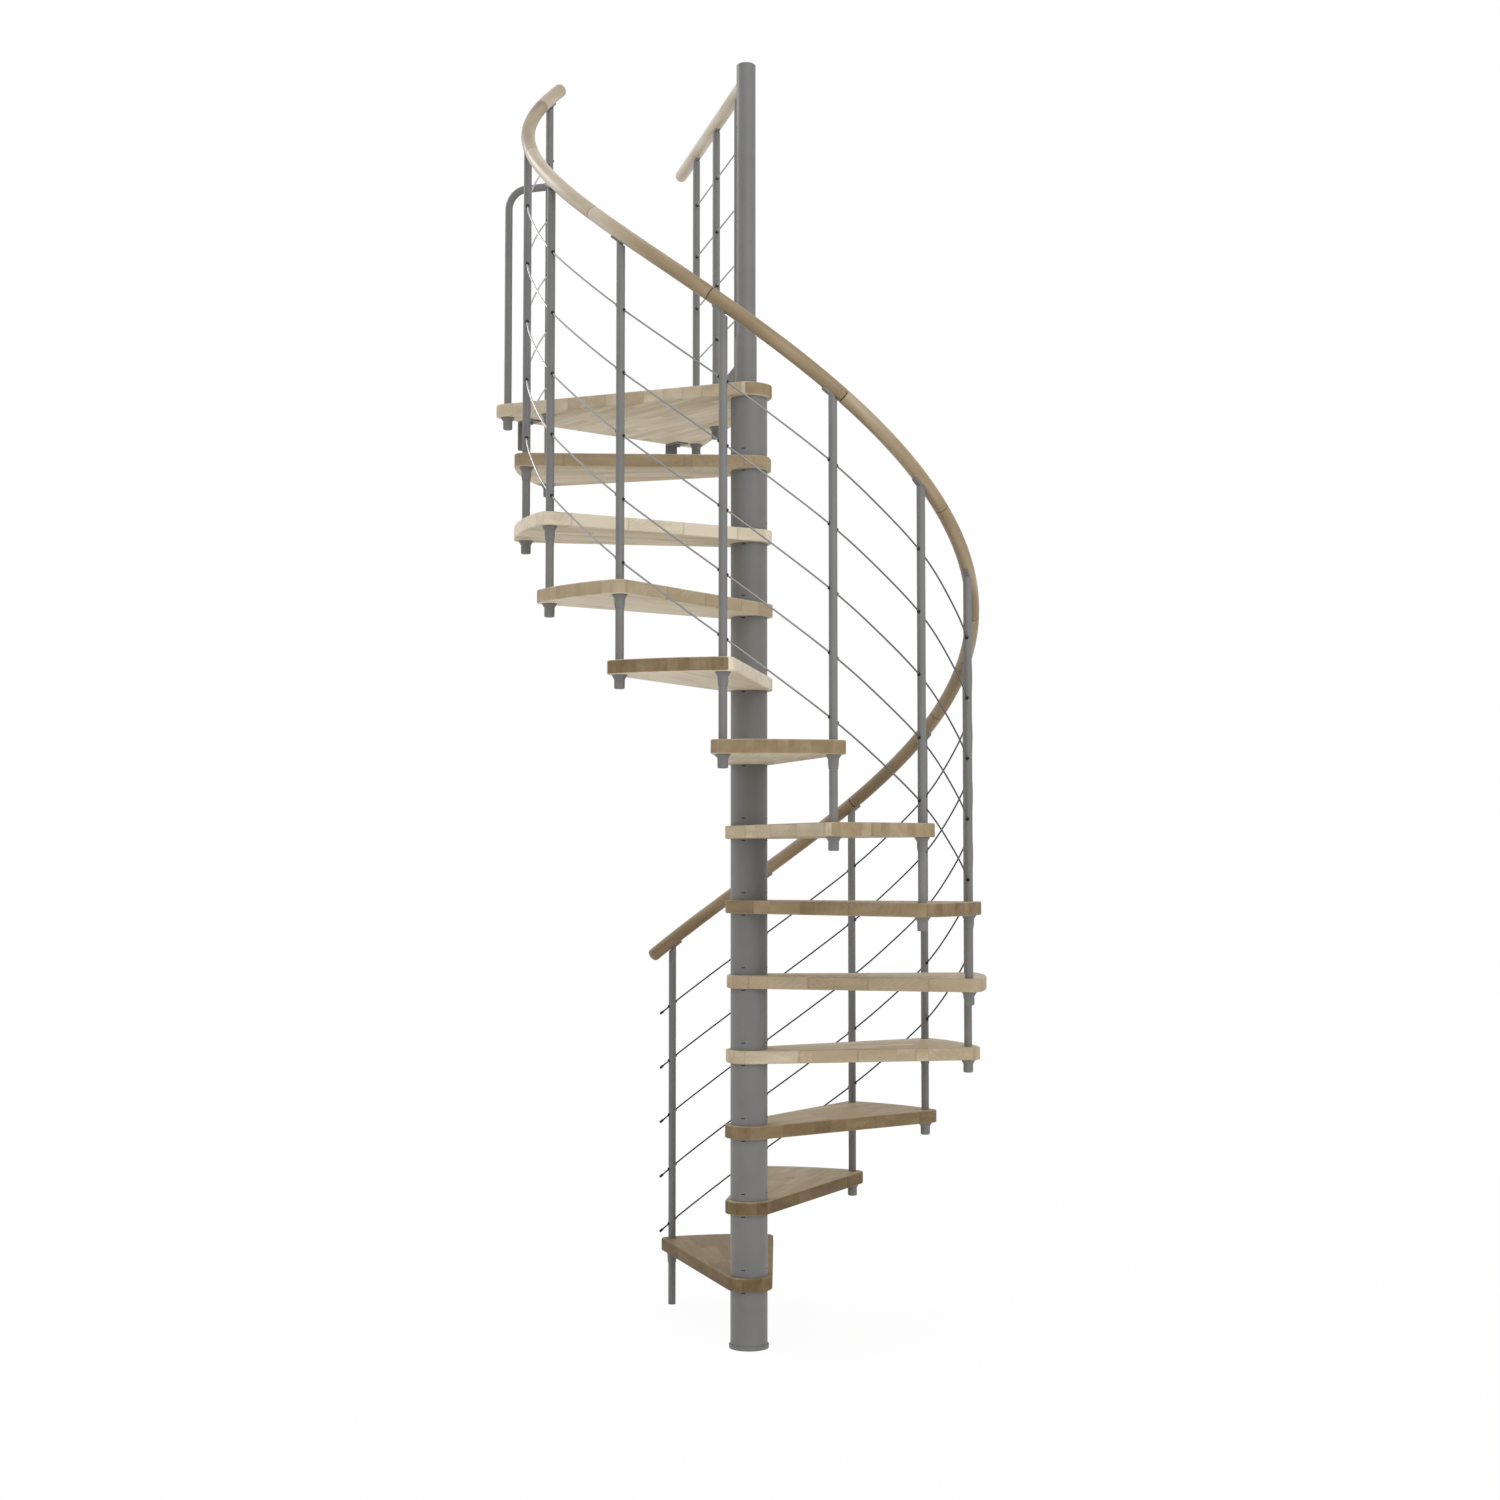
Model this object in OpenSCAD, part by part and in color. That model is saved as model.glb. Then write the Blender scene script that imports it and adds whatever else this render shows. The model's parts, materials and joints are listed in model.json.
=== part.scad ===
// Spiral staircase with a centre column, wooden treads, a landing and a wire balustrade.
// Millimetres, +Z up. The origin is on the column's axis at floor level.
// Directions are compass angles: 0 is +Y, and they grow clockwise seen from above, the way the stair climbs.
// Tread k lies between baluster k - 1 and baluster k, and the landing follows the last tread.

/* [Flight] */
// Number of treads below the landing
tread_count = 12; // [6:1:13]
// Height of the first tread's top above the floor
first_rise = 207; // [180:1:235]
// Height from one tread's top to the next
rise = 217; // [200:1:235]
// Turn from one baluster to the next, in degrees
step_angle = 26; // [24:0.5:28]
// Compass angle of the first baluster
first_angle = -22; // [-40:1:40]
// Radius of the circle that the balusters stand on
baluster_circle_r = 655; // [600:1:760]

/* [Column] */
// Diameter of the column's sleeves
column_d = 108; // [90:1:118]
// Diameter of the flange on the floor
flange_d = 116; // [110:1:160]
// Thickness of the flange on the floor
flange_t = 12; // [6:1:20]

/* [Treads] */
// Thickness of treads and landing
tread_t = 38; // [30:1:50]
// Width of a tread's inner end
inner_w = 116; // [114:1:160]
// Reach of a tread's inner end past the column's axis
inner_back = 64; // [60:1:90]
// Radius of the inner end's corners
inner_corner_r = 54; // [10:1:56]
// Radius of the outer corners
outer_corner_r = 30; // [10:1:40]
// Wood left beside the centre of a baluster's hole
hole_margin = 32; // [24:1:45]
// Wood left outside the centre of a baluster's hole
outer_margin = 35; // [30:1:70]

/* [Landing] */
// Width of the landing's inner end
landing_inner_w = 92; // [86:1:150]
// Turn from the last baluster to the middle of the exit edge, in degrees
exit_turn = 31; // [28:0.5:34]
// Wood left between the centre of the corner loop's foot and the exit edge
exit_margin = 33; // [24:1:80]
// Turn from the last baluster to the landing's guard rail, in degrees
guard_turn = 56; // [52:0.5:60]
// Width of the corner loop, from the last baluster's centre to that of its foot
loop_w = 138; // [110:1:150]
// Height of the corner loop above the landing
loop_h = 672; // [400:1:800]
// Bend radius of the corner loop's centre line
loop_bend_r = 58; // [35:1:70]
// Diameter of the corner loop's tube
loop_d = 23; // [18:1:28]

/* [Landing post] */
// Diameter of the post that stands over the column
post_d = 57; // [50:1:62]
// Distance of the post from the column's axis, towards the exit edge
post_offset = 14; // [0:1:16]
// Height of the post's cap
post_cap_h = 8; // [4:1:20]
// Chamfer round the top of the post's cap
post_cap_chamfer = 3; // [1:0.5:4]
// Diameter of the sleeve round the post's foot
post_sleeve_d = 64; // [60:1:90]
// Height of the sleeve round the post's foot
post_sleeve_h = 150; // [80:1:250]
// Height of the gusset at the post's foot
gusset_h = 80; // [50:1:95]
// Reach of the gusset past the sleeve
gusset_reach = 130; // [80:1:140]
// Thickness of the gusset
gusset_t = 12; // [4:1:20]

/* [Balusters] */
// Diameter of the balusters
baluster_d = 23.5; // [18:0.5:26]
// Number of balusters under the landing's guard rail
guard_count = 3; // [2:1:3]
// Distance of the guard rail's innermost baluster from the column's axis
guard_first_r = 140; // [125:1:220]
// Distance of the guard rail's outermost baluster past the circle of the others
guard_out_l = 65; // [30:1:75]
// Clearance round a baluster in its hole
hole_clear = 0.3; // [0.2:0.05:0.6]
// Diameter of the flange on a ferrule
ferrule_flange_d = 42; // [38:1:50]
// Thickness of the flange on a ferrule
ferrule_flange_t = 3; // [2:0.5:5]
// Diameter of a ferrule's neck
ferrule_neck_d = 29; // [28:0.5:34]
// Length of the taper from flange to neck
ferrule_taper = 9; // [4:1:14]
// Height of a ferrule
ferrule_h = 38; // [28:1:50]
// Thickness of the floor of a closed ferrule
ferrule_floor = 4; // [2:0.5:8]

/* [Handrails] */
// Diameter of the handrails
handrail_d = 40; // [34:1:50]
// Height of the handrail's centre above a tread, at the baluster on its front corner
handrail_h = 947; // [900:1:1000]
// Overrun of the spiral handrail past its first and last baluster, in degrees
handrail_overrun = 6.5; // [4:0.5:10]
// Length of a piece of the spiral handrail, in degrees
handrail_piece = 31.7; // [20:0.1:40]
// Length of the last piece of the spiral handrail, in degrees
handrail_last = 12.4; // [10:0.1:20]
// Hairline joint between two pieces of handrail
handrail_joint = 0.5; // [0.2:0.1:1]
// Radius of the rounding at a handrail's ends
handrail_round = 11; // [5:1:18]
// Height of the guard rail's centre below that of the spiral handrail, each above its own board
guard_lower_h = 14; // [0:1:40]
// Height of the post's cap above the guard rail's centre
guard_drop_h = 32; // [26:1:80]
// Overhang of the guard rail past its outermost baluster
guard_overhang_l = 250; // [60:1:280]
// Length of a saddle under a handrail
saddle_l = 42; // [30:1:60]
// Width of a saddle under a handrail
saddle_w = 16; // [10:1:18]
// Thickness of a saddle's plate
saddle_t = 4; // [2:0.5:6]
// Clearance between a saddle and the round of its handrail
saddle_clear = 0.2; // [0.1:0.05:0.5]

/* [Wires] */
// Number of wires
wire_count = 5; // [3:1:5]
// Diameter of a wire
wire_d = 5; // [3:0.5:6]
// Height of the lowest wire above a tread, at the baluster on its front corner
wire_first = 54; // [50:1:100]
// Height of the guard rail's lowest wire above the landing
guard_wire_h = 68; // [50:1:100]
// Height of the handrail's centre above the highest wire
wire_gap_h = 205; // [100:1:400]
// Clearance round a wire in a baluster
wire_clear = 0.5; // [0.3:0.1:1]
// Length of the wires past the first baluster
wire_out_low = 42; // [20:1:60]
// Length of the wires past the last baluster
wire_out_high = 22; // [18:1:60]
// Distance that a wire cuts in towards the column, halfway between two balusters
wire_inset = 4; // [0:1:14]
// Depth of the wire's seat in the landing post
wire_seat = 10; // [5:1:15]
// Diameter of the cap on a wire's end
wire_cap_d = 8; // [7:0.5:14]
// Length of the cap on a wire's end
wire_cap_l = 11; // [6:1:20]

/* [Floor brackets] */
// Distance of one bracket's middle from the exit edge's end beside the corner loop
bracket_near_l = 134; // [120:1:250]
// Distance of the other bracket's middle from the exit edge's end beside the guard rail
bracket_far_l = 118; // [112:1:250]
// Width of a bracket
bracket_w = 45; // [40:1:70]
// Thickness of a bracket
bracket_t = 5; // [4:0.5:8]
// Height of the bracket's leg that hangs down
bracket_drop = 90; // [70:1:120]
// Length of the bracket's leg under the landing
bracket_reach = 66; // [50:1:90]
// Diameter of the bolt hole in the hanging leg
bracket_hole_d = 11; // [8:0.5:14]
// Height of the bolt hole above the hanging leg's lower end
bracket_hole_up = 32; // [20:1:40]

/* [Hidden] */
function two(k) = k < 10 ? str("0", k) : str(k);
function wire_name(i) = str("rail_wire_", i + 1);

$fn = 48;
cut = 1;
last = tread_count;
landing_z = first_rise + tread_count * rise;
under_landing_z = landing_z - tread_t;
bore_d = baluster_d + 2 * hole_clear;
loop_bore_d = loop_d + 2 * hole_clear;
wire_bore_d = wire_d + 2 * wire_clear;
mm_per_degree = baluster_circle_r * PI / 180;
pitch_angle = atan(rise / (step_angle * mm_per_degree));
helix_per_degree = mm_per_degree / cos(pitch_angle);
exit_angle = first_angle + last * step_angle + exit_turn;
guard_angle = first_angle + last * step_angle + guard_turn;
tread_outer_r = baluster_circle_r + outer_margin;
loop_r = baluster_circle_r + loop_w;
loop_level = landing_z + loop_h;
exit_r = loop_r * cos(exit_turn) + exit_margin;
guard_outer_r = baluster_circle_r + guard_out_l;
guard_pitch = (guard_outer_r - guard_first_r) / (guard_count - 1);
guard_radii = [for (i = [0:guard_count - 1]) guard_first_r + i * guard_pitch];
guard_end_r = guard_outer_r + guard_overhang_l;
guard_h = handrail_h - guard_lower_h;
guard_level = landing_z + guard_h;
post_h = guard_h + guard_drop_h;
wire_pitch = (handrail_h - wire_gap_h - wire_first) / (wire_count - 1);
post_along_guard = post_offset * cos(guard_turn - exit_turn);
wire_root_r = post_along_guard + post_d / 2 - wire_seat;
bracket_hole_z = under_landing_z - bracket_drop + bracket_hole_up;
wire_bore_l = 2 * baluster_d;
end_arcs = [15, 35, 60];
corner_steps = 8;
tread_arc_steps = 8;
rail_sides = 16;
wire_sides = 8;
rail_step = 4;
wire_stations = [0, 0.045, 0.15, 0.26, 0.38, 0.5, 0.62, 0.74, 0.85, 0.955, 1];
steel = [0.48, 0.48, 0.47];
wood = [0.80, 0.69, 0.53];
wire_grey = [0.70, 0.70, 0.71];
black = [0.08, 0.08, 0.08];

// Compass angle of baluster k, and of the middle of tread k
function baluster_angle(k) = first_angle + k * step_angle;
function tread_angle(k) = first_angle + (k - 0.5) * step_angle;

// Height of the top of tread k
function tread_top(k) = first_rise + (k - 1) * rise;

// Height that the flight has climbed at a compass angle
function climb(a) = (a - first_angle) / step_angle * rise;

// Point of the plan at radius r and turn t from an outline's middle line, which is its first axis
function polar(r, t) = [r * cos(t), r * sin(t)];

// Second end of a line from p that leaves the margin m beside the point h, out to the first-axis value u
function side_angle(p, h, m, s) =
    atan2(h[1] - p[1], h[0] - p[0]) + s * asin(m / norm(h - p));
function side_end(p, angle, u) = [u, p[1] + (u - p[0]) * tan(angle)];

// Point where a line from p meets the circle of radius r round the axis
function circle_end(p, angle, r) =
    let (d = [cos(angle), sin(angle)], b = p * d)
    p + d * (sqrt(b * b - p * p + r * r) - b);

// Points of the arc that rounds the corner q between p and n with radius r
function corner_arc(p, q, n, r) =
    let (
        a = (p - q) / norm(p - q),
        b = (n - q) / norm(n - q),
        half = acos(a * b) / 2,
        c = q + (a + b) / norm(a + b) * r / sin(half),
        from = q + a * r / tan(half) - c,
        to = q + b * r / tan(half) - c,
        start = atan2(from[1], from[0]),
        turn = atan2(from[0] * to[1] - from[1] * to[0], from * to)
    )
    [for (i = [0:corner_steps]) c + polar(r, start + turn * i / corner_steps)];

// Outline with its corners rounded: each corner is a point and a radius, and radius 0 keeps the point
function rounded(corners) =
    let (n = len(corners))
    [for (i = [0:n - 1])
        let (q = corners[i], p = corners[(i + n - 1) % n][0], s = corners[(i + 1) % n][0])
        each (q[1] > 0 ? corner_arc(p, q[0], s, q[1]) : [q[0]])];

inner_left = [-inner_back, inner_w / 2];
inner_right = [-inner_back, -inner_w / 2];
near_inner = [-inner_back, landing_inner_w / 2];
far_inner = [-inner_back, -landing_inner_w / 2];
near_slope = side_angle(near_inner, polar(loop_r, exit_turn), hole_margin, 1);
far_slope = side_angle(far_inner, polar(guard_outer_r, exit_turn - guard_turn), hole_margin, -1);
near_corner = side_end(near_inner, near_slope, exit_r);
far_corner = side_end(far_inner, far_slope, exit_r);
bracket_rows = [far_corner[1] + bracket_far_l, near_corner[1] - bracket_near_l];

// Places children at a compass angle, with X along the climb and Y outwards
module at(angle, r = 0, z = 0) {
    rotate([0, 0, -angle]) translate([0, r, z]) children();
}

// Extrudes an outline whose first axis points along a compass angle
module board(angle, z) {
    translate([0, 0, z - tread_t]) rotate([0, 0, 90 - angle])
        linear_extrude(tread_t) children();
}

module baluster_bore(angle, r, z, d) {
    at(angle, r, z - tread_t - cut) cylinder(d = d, h = tread_t + 2 * cut);
}

// Tube along the helix of the balustrade: each station is a compass angle, a share of the tube's radius
// and a distance inwards from the circle of the balusters
module helix_tube(r, level, stations, sides) {
    n = len(stations);
    points = [for (s = stations)
        let (
            a = s[0],
            outward = [sin(a), cos(a), 0],
            lift = [-cos(a) * sin(pitch_angle), sin(a) * sin(pitch_angle), cos(pitch_angle)],
            circle_r = baluster_circle_r - s[2],
            middle = [circle_r * sin(a), circle_r * cos(a), climb(a) + level]
        )
        for (j = [0:sides - 1])
            middle + r * s[1] * (outward * cos(360 * j / sides) + lift * sin(360 * j / sides))];
    walls = [for (i = [0:n - 2], j = [0:sides - 1])
        let (k = (j + 1) % sides, p = i * sides, q = p + sides)
        each [[p + j, q + j, p + k], [p + k, q + j, q + k]]];
    ends = [
        [for (j = [0:sides - 1]) j],
        [for (j = [0:sides - 1]) n * sides - 1 - j]
    ];
    polyhedron(points = points, faces = concat(walls, ends), convexity = 6);
}

// Stations from one compass angle to another, with rounded ends where they are asked for
function helix_stations(from, to, step, round_from = 0, round_to = 0) =
    let (
        low = from + round_from / helix_per_degree,
        high = to - round_to / helix_per_degree,
        count = ceil((high - low) / step),
        n = len(end_arcs),
        back = [for (i = [1:n]) end_arcs[n - i]]
    )
    concat(
        round_from > 0 ? [for (q = end_arcs) [low - round_from * cos(q) / helix_per_degree, sin(q), 0]] : [],
        [for (i = [0:count]) [low + (high - low) * i / count, 1, 0]],
        round_to > 0 ? [for (q = back) [high + round_to * cos(q) / helix_per_degree, sin(q), 0]] : []
    );

module base_flange() {
    color(steel) cylinder(d = flange_d, h = flange_t);
}

// One sleeve from the flange to the first tread, and one between each tread and the next
module column_sleeves() {
    color(steel) for (k = [0:tread_count]) {
        foot = k == 0 ? flange_t : tread_top(k);
        translate([0, 0, foot]) cylinder(d = column_d, h = tread_top(k + 1) - tread_t - foot);
    }
}

module tread(k) {
    hole = polar(baluster_circle_r, step_angle / 2);
    slope = side_angle(inner_left, hole, hole_margin, 1);
    corner = circle_end(inner_left, slope, tread_outer_r);
    half_turn = atan2(corner[1], corner[0]);
    rim = [for (i = [1:tread_arc_steps - 1])
        [polar(tread_outer_r, half_turn * (2 * i / tread_arc_steps - 1)), 0]];
    outline = rounded(concat(
        [[inner_left, inner_corner_r], [inner_right, inner_corner_r]],
        [[[corner[0], -corner[1]], outer_corner_r]],
        rim,
        [[corner, outer_corner_r]]
    ));
    color(wood) difference() {
        board(tread_angle(k), tread_top(k)) polygon(outline);
        baluster_bore(baluster_angle(k - 1), baluster_circle_r, tread_top(k), bore_d);
        baluster_bore(baluster_angle(k), baluster_circle_r, tread_top(k), bore_d);
    }
}

// The landing's two sides run from its inner end past the loop's foot and past the guard rail
module landing() {
    outline = rounded([
        [near_inner, inner_corner_r],
        [far_inner, inner_corner_r],
        [far_corner, outer_corner_r],
        [near_corner, outer_corner_r]
    ]);
    color(wood) difference() {
        board(exit_angle, landing_z) polygon(outline);
        baluster_bore(baluster_angle(last), baluster_circle_r, landing_z, bore_d);
        baluster_bore(baluster_angle(last), loop_r, landing_z, loop_bore_d);
        for (r = guard_radii) baluster_bore(guard_angle, r, landing_z, bore_d);
    }
}

// Height of a baluster's top, on its axis, under a handrail whose centre is at z and whose slope is given
function tube_top(z, slope) = z - (handrail_d / 2 + saddle_clear + saddle_t) / cos(slope);

function handrail_z(a) = climb(a) + first_rise + handrail_h;
function wire_level(i) = first_rise + wire_first + i * wire_pitch;
function guard_wire_z(i) = landing_z + guard_wire_h + i * wire_pitch;
function ferrule_seat(k) = tread_top(k) - tread_t - ferrule_h + ferrule_floor;

// Baluster k, with its top cut to the handrail's slope
module baluster(k) {
    a = baluster_angle(k);
    foot = k == 0 ? 0 : ferrule_seat(k);
    top = tube_top(handrail_z(a), pitch_angle);
    color(steel) difference() {
        at(a, baluster_circle_r, foot) cylinder(d = baluster_d, h = top + baluster_d - foot);
        at(a, baluster_circle_r, top) rotate([0, -pitch_angle, 0])
            translate([-2 * baluster_d, -baluster_d, 0])
                cube([4 * baluster_d, 2 * baluster_d, 2 * baluster_d]);
        for (i = [0:wire_count - 1]) at(a, baluster_circle_r, climb(a) + wire_level(i))
            rotate([0, 90 - pitch_angle, 0]) cylinder(d = wire_bore_d, h = wire_bore_l, center = true);
    }
}

// Bent tube from the last baluster outwards and down through the landing's corner
module corner_loop() {
    foot = under_landing_z - ferrule_h + ferrule_floor;
    bend_r = loop_r - loop_bend_r;
    color(steel) difference() {
        at(baluster_angle(last)) {
            translate([0, baluster_circle_r, loop_level]) rotate([-90, 0, 0])
                cylinder(d = loop_d, h = bend_r - baluster_circle_r);
            translate([0, bend_r, loop_level - loop_bend_r]) rotate([90, 0, 90])
                rotate_extrude(angle = 90) translate([loop_bend_r, 0]) circle(d = loop_d);
            translate([0, loop_r, foot]) cylinder(d = loop_d, h = loop_level - loop_bend_r - foot);
        }
        at(baluster_angle(last), baluster_circle_r, loop_level - loop_d)
            cylinder(d = bore_d, h = 2 * loop_d);
    }
}

module guard_balusters() {
    foot = under_landing_z - ferrule_h + ferrule_floor;
    color(steel) for (r = guard_radii) difference() {
        at(guard_angle, r, foot) cylinder(d = baluster_d, h = tube_top(guard_level, 0) - foot);
        guard_wire_bores(wire_bore_d, 0);
    }
}

// Straight bores of the guard rail's wires, from a radius outwards
module guard_wire_bores(d, from) {
    for (i = [0:wire_count - 1])
        at(guard_angle, from, guard_wire_z(i)) rotate([-90, 0, 0]) cylinder(d = d, h = guard_end_r);
}

// Post over the column, with a sleeve and a gusset at its foot
module landing_post() {
    sleeve_r = post_sleeve_d / 2;
    color(steel) difference() {
        at(exit_angle, post_offset, landing_z) {
            cylinder(d = post_d, h = post_h);
            cylinder(d = post_sleeve_d, h = post_sleeve_h);
            rotate([90, 0, 90]) linear_extrude(gusset_t, center = true)
                polygon([[0, 0], [sleeve_r + gusset_reach, 0], [sleeve_r, gusset_h], [0, gusset_h]]);
        }
        guard_wire_bores(wire_bore_d, wire_root_r);
    }
}

module post_cap() {
    r = post_d / 2;
    color(steel) at(exit_angle, post_offset, landing_z + post_h) rotate_extrude()
        polygon([
            [0, 0], [r, 0], [r, post_cap_h - post_cap_chamfer],
            [r - post_cap_chamfer, post_cap_h], [0, post_cap_h]
        ]);
}

// Pieces of the helical handrail, end to end with hairline joints, counted from the top
module spiral_handrail() {
    start = first_angle - handrail_overrun;
    end = baluster_angle(last) + handrail_overrun;
    gap = handrail_joint / helix_per_degree / 2;
    pieces = ceil((end - handrail_last - start) / handrail_piece);
    color(wood) for (i = [0:pieces]) {
        high = i == 0 ? end : end - handrail_last - (i - 1) * handrail_piece - gap;
        low = i == pieces ? start : end - handrail_last - i * handrail_piece + gap;
        helix_tube(handrail_d / 2, first_rise + handrail_h,
            helix_stations(low, high, rail_step,
                i == pieces ? handrail_round : 0, i == 0 ? handrail_round : 0),
            rail_sides);
    }
}

// Straight handrail from the post outwards, with a rounded end
module guard_handrail() {
    r = handrail_d / 2;
    l = guard_end_r - post_along_guard;
    color(wood) difference() {
        at(guard_angle, post_along_guard, guard_level) rotate([-90, 0, 0]) rotate_extrude()
            intersection() {
                union() {
                    square([r, l - handrail_round]);
                    square([r - handrail_round, l]);
                    translate([r - handrail_round, l - handrail_round]) circle(r = handrail_round);
                }
                square([r, l]);
            }
        at(exit_angle, post_offset, landing_z) cylinder(d = post_d + 2 * hole_clear, h = post_h);
    }
}

// Stations of the wires in the bay below baluster k, with what runs on past the first and last baluster
function bay_stations(k) =
    let (gap = handrail_joint / helix_per_degree / 2, from = baluster_angle(k - 1), to = baluster_angle(k))
    concat(
        k == 1 ? [[from - wire_out_low / helix_per_degree, 1, 0]] : [],
        [for (t = wire_stations)
            [min(max(from + t * step_angle, from + gap), to - gap), 1, wire_inset * (1 - cos(360 * t)) / 2]],
        k == last ? [[to + wire_out_high / helix_per_degree, 1, 0]] : []
    );

// One wire along the flight: a stretch in each bay, and the stretches meet inside the balusters
module rail_wire(i) {
    color(wire_grey) for (k = [1:last])
        helix_tube(wire_d / 2, wire_level(i), bay_stations(k), wire_sides);
}

module guard_wires() {
    color(wire_grey) for (i = [0:wire_count - 1])
        at(guard_angle, wire_root_r, guard_wire_z(i)) rotate([-90, 0, 0])
            cylinder(d = wire_d, h = guard_outer_r + wire_out_high - wire_root_r);
}

// Angle brackets under the exit edge, which bolt the landing to the edge of the upper floor
module floor_brackets() {
    color(steel) for (row = bracket_rows) difference() {
        translate([0, 0, under_landing_z]) rotate([0, 0, 90 - exit_angle]) {
            translate([exit_r - bracket_t, row - bracket_w / 2, -bracket_drop])
                cube([bracket_t, bracket_w, bracket_drop]);
            translate([exit_r - bracket_reach, row - bracket_w / 2, -bracket_t])
                cube([bracket_reach, bracket_w, bracket_t]);
        }
        translate([0, 0, bracket_hole_z]) rotate([0, 0, 90 - exit_angle])
            translate([exit_r - bracket_t - cut, row, 0]) rotate([0, 90, 0])
                cylinder(d = bracket_hole_d, h = bracket_t + 2 * cut);
    }
}

// Turned ferrule under a board: a flange, a taper and a neck, open or with a floor
module ferrule(tube_d, closed) {
    bore_r = tube_d / 2 + hole_clear;
    neck_r = ferrule_neck_d / 2 + (tube_d - baluster_d) / 2;
    flange_r = ferrule_flange_d / 2;
    floor_z = -ferrule_h + (closed ? ferrule_floor : 0);
    rotate_extrude() polygon(concat(
        [
            [bore_r, 0], [flange_r, 0], [flange_r, -ferrule_flange_t],
            [neck_r, -ferrule_flange_t - ferrule_taper], [neck_r, -ferrule_h]
        ],
        closed ? [[0, -ferrule_h], [0, floor_z]] : [],
        [[bore_r, floor_z]]
    ));
}

module baluster_ferrules() {
    color(steel) {
        for (k = [0:last]) at(baluster_angle(k), baluster_circle_r) {
            translate([0, 0, tread_top(k + 1) - tread_t]) ferrule(baluster_d, false);
            if (k > 0) translate([0, 0, tread_top(k) - tread_t]) ferrule(baluster_d, true);
        }
        at(baluster_angle(last), loop_r, under_landing_z) ferrule(loop_d, true);
        for (r = guard_radii) at(guard_angle, r, under_landing_z) ferrule(baluster_d, true);
    }
}

// Plate between a baluster's top and the handrail, with X along the handrail
module saddle(slope) {
    rotate([0, -slope, 0]) translate([0, 0, -handrail_d / 2 - saddle_clear - saddle_t / 2])
        cube([saddle_l, saddle_w, saddle_t], center = true);
}

module handrail_saddles() {
    color(steel) {
        for (k = [0:last]) at(baluster_angle(k), baluster_circle_r, handrail_z(baluster_angle(k)))
            saddle(pitch_angle);
        for (r = guard_radii) at(guard_angle, r, guard_level) rotate([0, 0, 90]) saddle(0);
    }
}

// Caps on the ends of the wires, square to each wire
module wire_end_caps() {
    low = first_angle - wire_out_low / helix_per_degree;
    high = baluster_angle(last) + wire_out_high / helix_per_degree;
    color(black) for (i = [0:wire_count - 1]) {
        at(low, baluster_circle_r, climb(low) + wire_level(i)) rotate([0, -90 - pitch_angle, 0])
            cylinder(d = wire_cap_d, h = wire_cap_l);
        at(high, baluster_circle_r, climb(high) + wire_level(i)) rotate([0, 90 - pitch_angle, 0])
            cylinder(d = wire_cap_d, h = wire_cap_l);
        at(guard_angle, guard_outer_r + wire_out_high, guard_wire_z(i)) rotate([-90, 0, 0])
            cylinder(d = wire_cap_d, h = wire_cap_l);
    }
}

base_flange();
column_sleeves();
for (k = [1:tread_count]) tread(k);
landing();
for (k = [0:tread_count]) baluster(k);
corner_loop();
guard_balusters();
landing_post();
post_cap();
spiral_handrail();
guard_handrail();
for (i = [0:wire_count - 1]) rail_wire(i);
guard_wires();
floor_brackets();
baluster_ferrules();
handrail_saddles();
wire_end_caps();
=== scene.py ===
"""Looks of a spiral staircase with a steel column, stave-wood treads and a wire balustrade.

Lengths are metres and angles are radians. Directions in plan are compass angles: 0 is +Y, and they grow
clockwise seen from above, the way the stair climbs.
"""
from __future__ import annotations

import json
import logging
import math
from dataclasses import asdict, dataclass, replace
from enum import Enum
from typing import Any, Callable, ClassVar, Sequence, Union

import bmesh
import bpy
from bmesh.types import BMEdge, BMVert
from bpy.types import ColorRamp, Material, Mesh, Node, NodeSocket, NodeTree, Object
from mathutils import Matrix, Vector


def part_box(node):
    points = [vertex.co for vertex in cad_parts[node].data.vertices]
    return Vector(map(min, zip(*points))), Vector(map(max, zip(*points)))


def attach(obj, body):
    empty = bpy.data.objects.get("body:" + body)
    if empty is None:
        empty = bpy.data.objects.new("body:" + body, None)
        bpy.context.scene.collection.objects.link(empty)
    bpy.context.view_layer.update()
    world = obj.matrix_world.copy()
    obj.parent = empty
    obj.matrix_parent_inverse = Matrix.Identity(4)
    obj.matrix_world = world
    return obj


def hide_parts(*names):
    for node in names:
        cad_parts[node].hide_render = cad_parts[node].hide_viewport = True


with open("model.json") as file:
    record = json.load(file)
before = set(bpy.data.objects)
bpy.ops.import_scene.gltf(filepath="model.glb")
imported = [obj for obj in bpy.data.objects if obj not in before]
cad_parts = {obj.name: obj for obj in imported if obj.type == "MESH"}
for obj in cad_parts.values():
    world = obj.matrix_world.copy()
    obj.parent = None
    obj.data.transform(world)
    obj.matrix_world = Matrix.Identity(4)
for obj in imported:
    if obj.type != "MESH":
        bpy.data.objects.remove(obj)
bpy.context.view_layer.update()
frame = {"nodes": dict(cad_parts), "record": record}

log = logging.getLogger("stair")

MM = 0.001
QUARTER_TURN = math.pi / 2
FULL_TURN = 2 * math.pi
MERGE_DISTANCE = 0.01 * MM
NOISE_MEAN = 0.5
ALONG_X = Matrix.Rotation(QUARTER_TURN, 4, "Y")
ALONG_Y = Matrix.Rotation(-QUARTER_TURN, 4, "X")
DOWNWARDS = Matrix.Rotation(math.pi, 4, "X")

Colour = tuple[float, float, float, float]
Profile = Sequence[tuple[float, float]]


class Slot(Enum):
    """Material slots of the record."""

    STEEL = "grey_steel"
    BOARD = "stave_wood"
    RAIL = "rail_wood"
    WIRE = "wire_steel"
    CAP = "cap_plastic"


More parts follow.
